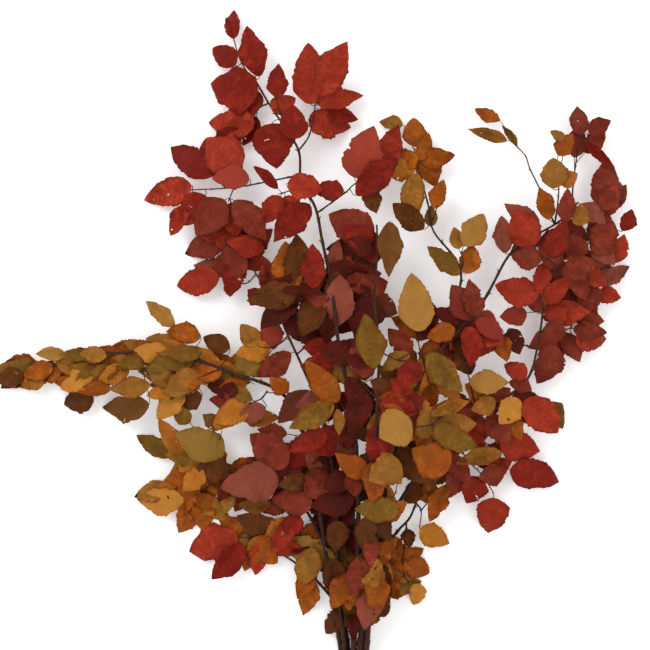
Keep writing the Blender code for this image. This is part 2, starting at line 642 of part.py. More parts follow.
def joint_pair(line, distance, left, half_run, width):
    """The two points on a twig's edge that a stalk starts from, left one first."""
    near, ahead = along_line(line, distance - half_run)
    far, ahead_far = along_line(line, distance + half_run)
    beside = Vector((-ahead.y, ahead.x, 0.0)) * width
    beside_far = Vector((-ahead_far.y, ahead_far.x, 0.0)) * width
    if left:
        return near + beside, far + beside_far
    return far - beside_far, near - beside


def twig_width(line, distance):
    share = distance / line_length(line)
    return SHOOT_RADIUS + (SHOOT_TIP_RADIUS - SHOOT_RADIUS) * share


def add_leaf(sheet, start, leaf, height, slope, tilt):
    """Stalk and blade of one leaf, grown from a pair of points of the sheet."""
    foot = (sheet.points[start[0]] + sheet.points[start[1]]) / 2
    base = Vector((leaf[0], leaf[1], height))
    run = Vector((leaf[2] - leaf[0], leaf[3] - leaf[1], 0.0))
    length = run.length
    forward = run / length
    across = Vector((-forward.y, forward.x, 0.0))
    half = leaf[4] / 2
    wanted = LEAF_TRUE_WIDTH * length / 2
    fold = math.sqrt(max(wanted * wanted - half * half, 0.0)) * 0.6 + 0.08 * half
    fold = min(fold, DEEPEST_FOLD)

    def place(along, side):
        point = base + run * along
        point.z += slope * length * along
        point.z += BELLY_HEIGHT * length * (4 * along * (1 - along))
        point += across * (half * side)
        point.z += fold * abs(side) + tilt * half * side
        return point

    stalk = base - foot
    flat = Vector((stalk.x, stalk.y, 0.0))
    ahead = flat.dot(forward) / max(flat.length, 1e-9)
    turn = 1.0 if (foot - base).dot(across) > 0 else -1.0
    bends = []
    behind = base - forward * BEND_BEHIND
    if ahead < -0.5:
        corner = behind + across * (turn * BEND_BESIDE)
        corner.z = foot.z * 0.6 + base.z * 0.4
        bends.append((corner, (across * -turn - forward).normalized()))
    if ahead < 0.35:
        bends.append((behind, (forward - across * turn).normalized()))
    last = start
    for point, heading in bends:
        side = Vector((-heading.y, heading.x, 0.0)) * STALK_HALF_WIDTH
        pair = sheet.pair(point + side, point - side, LEAF_HALF_THICKNESS)
        sheet.bridge(last, pair, steer=False)
        last = pair
    heading = forward if bends else (forward + flat.normalized()).normalized()
    side = Vector((-heading.y, heading.x, 0.0)) * (STALK_HALF_WIDTH * 1.3)
    neck = sheet.pair(base + side, base - side, LEAF_HALF_THICKNESS)
    sheet.bridge(last, neck, steer=False)
    left_neck, right_neck = neck
    left_low, right_low = sheet.pair(
        place(LOW_STATION, LOW_SPREAD), place(LOW_STATION, -LOW_SPREAD), LEAF_HALF_THICKNESS)
    left_high, right_high = sheet.pair(
        place(HIGH_STATION, HIGH_SPREAD), place(HIGH_STATION, -HIGH_SPREAD), LEAF_HALF_THICKNESS)
    middle, upper = sheet.pair(
        place(LOW_STATION, 0.0), place(HIGH_STATION, 0.0), LEAF_HALF_THICKNESS)
    sheet.points.append(place(1.0, 0.0))
    sheet.halves.append(LEAF_HALF_THICKNESS)
    sheet.normals.append(Vector())
    tip = len(sheet.points) - 1
    for ring in ((left_neck, right_neck, middle), (right_neck, right_low, middle),
                 (left_neck, middle, left_low), (middle, right_low, right_high, upper),
                 (left_low, middle, upper, left_high), (upper, right_high, tip),
                 (left_high, upper, tip)):
        sheet.face(ring)


def leaf_alone(pair, leaf, pose, with_stalk=True):
    """Sheet of one leaf by itself, for the clearance tests."""
    sheet = Sheet()
    start = sheet.pair(pair[0], pair[1], LEAF_HALF_THICKNESS)
    add_leaf(sheet, start, leaf, *pose)
    if not with_stalk:
        sheet.faces = sheet.faces[-7:]
        used = sorted({i for ring in sheet.faces for i in ring})
        order = {old: new for new, old in enumerate(used)}
        sheet.points = [sheet.points[i] for i in used]
        sheet.halves = [sheet.halves[i] for i in used]
        sheet.normals = [sheet.normals[i] for i in used]
        sheet.faces = [tuple(order[i] for i in ring) for ring in sheet.faces]
    else:
        for i in start:
            sheet.normals[i] = Vector((0.0, 0.0, 1.0))
    return sheet


def shoot_sheet(lines, leaves, joints, poses):
    """The whole shoot as one sheet: twig strips with leaves grown from their edges."""
    sheet = Sheet()
    starts = {}
    for number, line in enumerate(lines):
        length = line_length(line)
        own = sorted((joints[key][1], key) for key in joints if joints[key][0] == number)
        stations = []
        for distance, key in own:
            half_run = joints[key][3]
            stations.append((distance - half_run, key, 0))
            stations.append((distance + half_run, key, 1))
        done = 0.0
        corners = [0.0]
        for a, b in zip(line, line[1:]):
            done += (Vector(b) - Vector(a)).length
            corners.append(done)
        for corner in corners:
            inside = any(low[0] - CORNER_GAP < corner < high[0] + CORNER_GAP
                         for low, high in zip(stations[0::2], stations[1::2])
                         if low[1] is not None)
            if not inside:
                stations.append((corner, None, 0))
                stations.sort(key=lambda item: item[0])
                stations = regroup(stations)
        stations = sorted(stations, key=lambda item: item[0])
        stations = [item for item in stations if number == 0 or item[0] > SIDE_TWIG_CUT]
        last = starts.get(("line", number))
        for distance, key, part in stations:
            point, ahead = along_line(line, distance)
            width = twig_width(line, distance)
            beside = Vector((-ahead.y, ahead.x, 0.0)) * width
            pair = sheet.pair(point + beside, point - beside, TWIG_HALF_THICKNESS)
            if last is not None:
                sheet.bridge(last, pair)
            if key is not None and part == 0:
                opened = pair
            if key is not None and part == 1:
                if joints[key][2]:
                    starts[key] = (opened[0], pair[0])
                else:
                    starts[key] = (pair[1], opened[1])
            last = pair
    sheet.keep()
    for number, leaf in enumerate(leaves):
        if poses[number] is not None:
            add_leaf(sheet, starts[("leaf", number)], leaf, *poses[number])
    return sheet


def regroup(stations):
    """Keep the two ends of each joint together after a sort."""
    joined = [item for item in stations if item[1] is not None]
    plain = [item for item in stations if item[1] is None]
    return joined + plain


# ---- layout: where each twig and leaf stands, clear of everything placed before it ----
class Placed:
    """Everything placed so far, each with its box and search tree."""

    def __init__(self):
        self.items = []

    def add(self, verts, faces, group, kind):
        low, high = box_of(verts)
        self.items.append((low, high, BVHTree.FromPolygons(verts, faces), group, kind))

    def hits(self, verts, faces, skip):
        low, high = box_of(verts)
        tree = None
        for item_low, item_high, item_tree, group, kind in self.items:
            if skip(group, kind) or not boxes_meet(low, high, item_low, item_high):
                continue
            if tree is None:
                tree = BVHTree.FromPolygons(verts, faces)
            if tree.overlap(item_tree):
                return True
        return False


def box_of(verts):
    low = [min(v[axis] for v in verts) for axis in range(3)]
    high = [max(v[axis] for v in verts) for axis in range(3)]
    return low, high


def boxes_meet(low, high, other_low, other_high):
    return all(low[i] <= other_high[i] and other_low[i] <= high[i] for i in range(3))


def stem_radius_at(stem, index, along):
    """Radius of a stem at a place on its centre line."""
    line = [Vector(p) for p in stem[3]]
    total = sum((b - a).length for a, b in zip(line, line[1:]))
    done = sum((b - a).length for a, b in zip(line[:index], line[1:index + 1]))
    done += (line[index + 1] - line[index]).length * along
    return stem[1] + (stem[2] - stem[1]) * done / total


def clear_start(stem, line):
    """The twig line, cut so that it starts just outside the bark of its stem."""
    gap, foot, index, along = nearest_on_line(stem[3], line[0][0], line[0][1])
    limit = stem_radius_at(stem, index, along) + SHOOT_RADIUS + SHOOT_GAP
    points = [foot] + [Vector(p) for p in line[1:]]
    while len(points) > 2 and distance_to_line(stem[3], points[1]) < limit + 0.001:
        points.pop(1)
    start = points[0]
    for step in range(1, 400):
        start = points[0].lerp(points[1], step / 400)
        if distance_to_line(stem[3], start) >= limit:
            break
    return [start] + points[1:]


def lifts(spread, step):
    """0, then steps up and down by turns."""
    result = [0.0]
    for i in range(1, spread + 1):
        result.append(step * i)
        result.append(-step * i)
    return result


def place_wood():
    """Stems first, then each shoot's twigs, lifted or lowered until they are clear."""
    placed = Placed()
    stems = {}
    for stem in STEMS:
        stems[stem[0]] = stem
        placed.add(*tube(stem[3], stem[1] + WOOD_GAP, stem[2] + WOOD_GAP, 8), stem[0], "stem")
    twigs = {}
    for name, stem_name, lines, leaves in SHOOTS:
        for lift in lifts(TWIG_LIFTS, TWIG_LIFT):
            moved = []
            for number, line in enumerate(lines):
                points = []
                for i, (x, y, z) in enumerate(line):
                    fixed = number == 0 and i == 0
                    points.append((x, y, z if fixed else max(z + lift, LOWEST_TWIG)))
                moved.append(points)
            moved[0] = clear_start(stems[stem_name], moved[0])
            tubes = [tube(line, SHOOT_RADIUS, SHOOT_TIP_RADIUS, 5) for line in moved]
            if not any(placed.hits(*solid, lambda group, kind: False) for solid in tubes):
                break
        else:
            print("no clear place for the twig of", name)
        twigs[name] = moved
        for line in moved:
            solid = tube(line, SHOOT_RADIUS + WOOD_GAP, SHOOT_TIP_RADIUS + WOOD_GAP, 5)
            placed.add(*solid, name, "twig")
    return placed, twigs


def choices(number, leaf):
    """Ways to hang one leaf, nearest first to its own natural pose."""
    own_slope = 0.32 * math.sin(number * 2.4) - 0.10
    own_tilt = 0.30 * math.sin(number * 4.1 + 1.0)
    ways = []
    for rise in LEAF_RISES:
        for turn in LEAF_TURNS:
            for roll in LEAF_ROLLS:
                cost = abs(rise) * 60 + abs(turn) * 1.2 + abs(roll) * 0.9
                ways.append((cost, rise, own_slope + turn, own_tilt + roll))
    ways.sort(key=lambda way: way[0])
    return ways


def place_leaves(placed, twigs):
    """Choose a pose for every leaf.  Returns the sheet of every shoot."""
    sheets = {}
    number = 0
    crowded = []
    for name, stem_name, lines, leaves in SHOOTS:
        joints = joints_of(twigs[name], leaves)
        poses = []
        for order, leaf in enumerate(leaves):
            number += 1
            line_number, distance, left, half_run = joints[("leaf", order)]
            line = twigs[name][line_number]
            pair = joint_pair(line, distance, left, half_run, twig_width(line, distance))
            pose = None
            if leaf[4] >= SMALLEST_LEAF_WIDTH or leaf[-1] == "g":
                rest = [None] * (len(leaves) - order - 1)

                def sound(pose):
                    trial = shoot_sheet(twigs[name], leaves, joints, poses + [pose] + rest)
                    return not crosses_itself(*trial.solid())

                pose = find_pose(placed, name, number, leaf, pair, sound)
                if pose is None:
                    crowded.append((name, leaf))
            poses.append(pose)
            if pose is not None:
                placed.add(*leaf_alone(pair, leaf, pose).solid(), name, "full")
                placed.add(*leaf_alone(pair, leaf, pose, False).solid(), name, "blade")
        sheets[name] = shoot_sheet(twigs[name], leaves, joints, poses)
    for name, leaf in crowded:
        print("no clear place for a leaf of", name, leaf)
    return sheets


def crosses_itself(verts, rings):
    """True where faces that share no corner meet."""
    tree = BVHTree.FromPolygons(verts, rings)
    return any(not set(rings[a]) & set(rings[b]) for a, b in tree.overlap(tree))


def find_pose(placed, name, number, leaf, pair, sound):
    """The nearest clear pose to the leaf's own: height of its base, slope and tilt."""
    foot = (pair[0] + pair[1]) / 2
    length = math.hypot(leaf[2] - leaf[0], leaf[3] - leaf[1])
    clear = []
    for cost, rise, slope, tilt in choices(number, leaf):
        height = max(foot.z + rise, GROUND_TIP_HEIGHT)
        if leaf[-1] == "g":
            slope = (GROUND_TIP_HEIGHT - height) / length
            tilt *= 0.5
        pose = (height, slope, tilt)
        sheet = leaf_alone(pair, leaf, pose)
        if min(p.z for p in sheet.points) < GROUND_TIP_HEIGHT - 1e-6:
            continue
        if placed.hits(*sheet.solid(TEST_EXTRA), lambda group, kind: group == name):
            continue
        blade = leaf_alone(pair, leaf, pose, False)
        if placed.hits(*blade.solid(TEST_EXTRA),
                       lambda group, kind: group != name or kind == "full"):
            continue
        if sound(pose):
            return pose
        clear.append(pose)
        if len(clear) == MOST_TRIES:
            break
    return clear[0] if clear else None


# ---- building ----
def new_collection(name):
    collection = bpy.data.collections.new(name)
    bpy.context.scene.collection.children.link(collection)
    return collection


def make_material(key):
    material = bpy.data.materials.new(SLOT_NAMES[key])
    material.use_nodes = True
    shader = material.node_tree.nodes["Principled BSDF"]
    shader.inputs["Base Color"].default_value = (*COLOURS[key], 1.0)
    shader.inputs["Roughness"].default_value = 0.75
    material.diffuse_color = (*COLOURS[key], 1.0)
    return material


def make_stem(name, line, start_radius, end_radius, material, collection):
    """A stem: a smooth rod that tapers along its line, closed at both ends."""
    curve = bpy.data.curves.new(name, "CURVE")
    curve.dimensions = "3D"
    curve.bevel_depth = start_radius
    curve.bevel_resolution = 2
    curve.use_fill_caps = True
    points = [Vector(p) for p in line]
    total = line_length(line)
    spline = curve.splines.new("POLY")
    spline.points.add(len(points) - 1)
    spline.use_smooth = True
    done = 0.0
    for index, point in enumerate(points):
        if index:
            done += (point - points[index - 1]).length
        radius = start_radius + (end_radius - start_radius) * done / total
        spline.points[index].co = (*point, 1.0)
        spline.points[index].radius = radius / start_radius
    curve.materials.append(material)
    thing = bpy.data.objects.new(name, curve)
    collection.objects.link(thing)


def make_shoot(name, solid, material, collection):
    """A shoot: one closed body of triangles."""
    verts, rings = solid
    faces = []
    for ring in rings:
        for second in range(1, len(ring) - 1):
            faces.append((ring[0], ring[second], ring[second + 1]))
    mesh = bpy.data.meshes.new(name)
    mesh.from_pydata([tuple(v) for v in verts], [], faces)
    mesh.materials.append(material)
    mesh.update()
    thing = bpy.data.objects.new(name, mesh)
    collection.objects.link(thing)


def settle(parts):
    """Move the bunch so that its lowest point is at height 0 and its box is centred."""
    low = [1e9] * 3
    high = [-1e9] * 3
    graph = bpy.context.evaluated_depsgraph_get()
    for thing in parts.objects:
        mesh = bpy.data.meshes.new_from_object(thing.evaluated_get(graph))
        for vert in mesh.vertices:
            for axis in range(3):
                low[axis] = min(low[axis], vert.co[axis])
                high[axis] = max(high[axis], vert.co[axis])
        bpy.data.meshes.remove(mesh)
    shift = Vector((-(low[0] + high[0]) / 2, -(low[1] + high[1]) / 2, -low[2]))
    for thing in parts.objects:
        thing.data.transform(Matrix.Translation(shift))
    size = [round(high[axis] - low[axis], 4) for axis in range(3)]
    print("size", size, "moved by", [round(value, 5) for value in shift])


def main():
    for thing in list(bpy.data.objects):
        bpy.data.objects.remove(thing, do_unlink=True)
    parts = new_collection("beech_bunch")
    materials = {key: make_material(key) for key in COLOURS}
    placed, twigs = place_wood()
    sheets = place_leaves(placed, twigs)
    for name, start_radius, end_radius, line in STEMS:
        make_stem(name, line, start_radius, end_radius, materials["wood"], parts)
    for name, stem_name, lines, leaves in SHOOTS:
        make_shoot(name, sheets[name].solid(), materials[leaves[0][5]], parts)
    settle(parts)


main()
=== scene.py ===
"""The look of a bunch of cut, dried beech branches with red and golden autumn leaves.

Metres, +Z up.  Stems, twigs and leaves are grown over the solids that stand for them in the
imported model: their plan comes from the same lists as the solids, and heights and tilts are read
from the solids themselves.  Listed leaves that the solids leave out get a natural pose on their
twig, and fill leaves cover the crowded middle.  Each stem and each shoot is one piece.
"""

import math

import bpy
import numpy as np
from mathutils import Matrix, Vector
from mathutils.kdtree import KDTree


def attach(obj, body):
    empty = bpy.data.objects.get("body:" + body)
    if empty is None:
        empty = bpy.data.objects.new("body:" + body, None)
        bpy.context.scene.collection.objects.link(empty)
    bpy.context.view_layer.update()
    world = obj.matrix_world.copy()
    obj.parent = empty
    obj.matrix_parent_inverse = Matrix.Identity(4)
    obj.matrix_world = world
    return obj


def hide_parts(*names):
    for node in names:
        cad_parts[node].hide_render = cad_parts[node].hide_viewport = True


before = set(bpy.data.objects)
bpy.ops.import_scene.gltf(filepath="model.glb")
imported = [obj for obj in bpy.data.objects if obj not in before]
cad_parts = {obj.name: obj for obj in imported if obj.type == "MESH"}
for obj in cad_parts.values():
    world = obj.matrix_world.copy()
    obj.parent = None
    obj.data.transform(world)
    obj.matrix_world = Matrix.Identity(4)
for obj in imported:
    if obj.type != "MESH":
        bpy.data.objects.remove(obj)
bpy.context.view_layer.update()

# Lengths are in metres and angles in radians.  Slopes, tilts and shares of a length have no unit.

# ---- the leaf and twig rules that the solids follow ----
LEAF_TRUE_WIDTH = 0.62
BELLY_HEIGHT = 0.054
LARGEST_FOLD = 0.012
FOLD_SHARE = 0.6
LEAST_FOLD = 0.08
LOW_STATION = 0.30
HIGH_STATION = 0.66
MARGIN_STATION = 0.90
STALK_LENGTH = 0.0060
LIFT_STEP = 0.003
MOST_LIFTS = 8
LOWEST_TWIG = 0.003

# ---- how closely the solids are read ----
SAME_PLACE = 0.0007
THINNEST_PLATE = 0.0002
THICKEST_PLATE = 0.0011
WORST_SPINE_MISS = 0.001
WORST_MARGIN_MISS = 0.002
TWIG_REACH = 0.0022
CUT_END_DEPTH = 0.003
TIE = 1e-9

# ---- leaf blades ----
VEIN_GAPS = 9
ROW_SHARES = (0.0, 0.13, 0.50, 0.87)
ACROSS = (-1.0, -0.86, -0.66, -0.42, -0.18, -0.035, 0.0, 0.035, 0.18, 0.42, 0.66, 0.86, 1.0)
VEIN_SLANT = 0.17
SLANT_START = 0.14
FIRST_VEIN = 0.08
LAST_VEIN = 0.10
VEIN_SHARPNESS = 2.7
TYPICAL_LENGTH = 0.07
TYPICAL_HALF_WIDTH = 0.35
DIAMOND_PEAK = 0.44
BROAD_LEAF = 0.85
NARROW_LEAF = 0.50
NARROWEST_ROW = 0.0006
FOLD_SOFTNESS = 0.015
LEAF_THICKNESS = 0.00040
PLEAT_HEIGHT = 0.00038
MIDRIB_HEIGHT = 0.00050
MIDRIB_WIDTH = 0.05
MIDRIB_TAPER = 0.8
TOOTH_DEPTH = 0.05
WAVE_HEIGHT = 0.0016
DENT_HEIGHT = 0.0042
DENT_START = 0.15
MIDDLE_DENT = 0.35
CURL_START = 0.6
LEAF_SEED = 1000
FLOOR_GAP = 0.0004
# The first share marks the veins and the midrib, for their own colour and the painted shade of their grooves.
SHARE_NAMES = ("vein_and_groove_shade", "margin", "underside", "tone", "age")

# ---- leaf stalks ----
STALK_RADIUS = 0.00055
STALK_FOOT = 1.25
STALK_TAPER = 0.45
STALK_BEND = 0.0045
STALK_CORNER = 0.4
STALK_STEPS = 6
STALK_SIDES = 6
STALK_OVERLAP = 0.002
NEAREST_STALK = 0.003

# ---- twigs and stems ----
TWIG_RADIUS = 0.0013
SIDE_TWIG_SHARE = 0.8
TWIG_TIP_RADIUS = 0.0007
TWIG_SIDES = 8
STEM_SIDES = 12
STEM_SEED = 500
BRANCH_STEP = 0.0035
HEADING_STEP = 0.004
TWIG_JOINT_GAP = 0.022
STEM_JOINT_GAP = 0.034
JOINT_REACH = 0.0026
JOINT_SWELL = 0.22
JOINT_WANDER = 0.3
BARK_WANDER = 0.04
END_BUD = 0.0070
END_BUD_OVERLAP = 0.0006
# Side buds: length, upward lift, and how far they turn away from the branch.
TWIG_BUD = (0.0045, 0.30, 0.7)
STEM_BUD = (0.0060, 0.25, 0.8)
STEM_BUD_DEPTH = 0.6
BUD_SIDES = 7
BUD_GIRTH = 0.13
# Places along a bud, as shares of its length, with its width there as a share of its greatest.
BUD_SHAPE = ((0.0, 0.35), (0.12, 0.8), (0.35, 1.0), (0.65, 0.72), (0.88, 0.32), (1.0, 0.06))

# ---- poses of listed leaves that the solids leave out ----
FREE_RISE = 0.003
FREE_SLOPE = 0.32
FREE_DROOP = 0.10
FREE_TILT = 0.30
LOWEST_FREE_LEAF = 0.004
# Angles by which height, slope and tilt go on from one leaf to the next, so that neighbours differ.
FREE_TURNS = (1.7, 2.4, 4.1)

# ---- fill leaves ----
FILL_SEED = 77
FILL_CHOICES = 12
SHORTEST_FILL = 0.042
SHORTEST_FILL_STALK = 0.005
LONGEST_FILL_STALK = 0.022
CLOSE_TO_WOOD = 0.008
FILL_TURN = 0.6
FILL_WIDTHS = (0.56, 0.72)
FILL_DROPS = (-0.002, 0.022)
FILL_SLOPES = (-0.30, 0.16)
FILL_TILT = 0.35
TOP_RISE = 0.006
TOP_FLATNESS = 0.3
LOWEST_FILL = 0.006
LOWEST_FILL_TIP = 0.003
# Places on a leaf, as shares of its length and half width, that are tested against open places.
LEAF_PROBES = ((0.0, 0.0), (0.3, 0.8), (0.3, -0.8), (0.5, 0.0), (0.7, 0.7), (0.7, -0.7), (1.0, 0.0))

# ---- light and camera ----
FLOOR_REACH = 20.0
FLOOR_GLOW = 0.22
WORLD_LIGHT = 0.85
# Each lamp: name, place, diameter and power in watts.
LAMPS = (("key_light", (-1.3, 1.3, 2.6), 1.6, 30.0), ("fill_light", (1.6, -0.6, 2.2), 2.0, 12.0))
VIEW_MIDDLE = (0.021, 0.0448, 0.055)
VIEW_WIDTH = 0.901
LENS_MM = 85.0
SENSOR_MM = 36.0

# ---- stems: name, radius at the cut end, radius at the tip, centre line from the cut end ----
STEMS = (
    ("stem_red_top", .0042, .0013, (
        (.0605, -.492, .0135), (.0610, -.420, .0140), (.066, -.330, .030), (.067, -.200, .055),
        (.060, -.080, .078), (.041, .010, .088), (.031, .091, .090), (.017, .161, .084),
        (.008, .205, .076), (-.012, .245, .066), (-.017, .290, .056), (-.055, .350, .042),
        (-.075, .385, .034))),
    ("stem_red_left", .0040, .0013, (
        (.0510, -.490, .0135), (.0500, -.420, .0140), (.040, -.330, .026), (.036, -.200, .042),
        (.020, -.090, .052), (-.007, -.021, .054), (-.028, .025, .052), (-.046, .066, .048),
        (-.060, .093, .044))),
    ("stem_left_arm", .0040, .0012, (
        (.0460, -.488, .0042), (.0440, -.420, .0044), (.030, -.330, .020), (.008, -.190, .028),
        (-.028, -.063, .034), (-.112, -.021, .042), (-.196, .004, .042), (-.300, .004, .034),
        (-.395, -.012, .022))),
    ("stem_lower_left", .0040, .0012, (
        (.0555, -.493, .0042), (.0540, -.420, .0044), (.042, -.340, .0150), (.018, -.262, .0150),
        (-.028, -.192, .016), (-.112, -.165, .018))),
    ("stem_low_shoot", .0038, .0012, (
        (.0650, -.487, .0042), (.0640, -.425, .0044), (.052, -.372, .0042), (.016, -.325, .0065),
        (-.020, -.292, .014), (-.042, -.278, .016))),
    ("stem_gold_low", .0040, .0012, (
        (.0745, -.490, .0042), (.0760, -.415, .0048), (.092, -.350, .012), (.112, -.266, .022),
        (.125, -.243, .025), (.142, -.222, .028), (.160, -.170, .032))),
    ("stem_red_right", .0042, .0013, (
        (.0700, -.492, .0135), (.0735, -.415, .0150), (.090, -.330, .026), (.112, -.230, .037),
        (.150, -.165, .046), (.182, -.133, .050), (.240, -.079, .054), (.275, -.054, .054),
        (.303, -.028, .054), (.316, .014, .052), (.326, .078, .050))),
    ("stem_red_upper", .0042, .0013, (
        (.0655, -.489, .0230), (.0690, -.410, .0270), (.083, -.300, .050), (.106, -.180, .069),
        (.140, -.060, .082), (.170, .000, .086), (.203, .036, .086), (.238, .078, .082),
        (.272, .138, .074), (.300, .162, .068), (.345, .188, .060), (.372, .215, .054))),
    ("stem_gold_top", .0040, .0012, (
        (.0560, -.491, .0230), (.0600, -.410, .0275), (.077, -.300, .0410), (.096, -.180, .053),
        (.128, -.060, .066), (.168, .020, .068), (.205, .090, .062), (.205, .130, .058),
        (.172, .175, .050), (.165, .212, .044))),
    ("stem_centre", .0042, .0013, (
        (.0746, -.488, .0232), (.0795, -.410, .0290), (.084, -.330, .052), (.084, -.250, .070),
        (.088, -.150, .092), (.092, -.060, .104), (.094, .020, .106), (.088, .075, .102),
        (.092, .140, .090), (.092, .182, .080))),
)

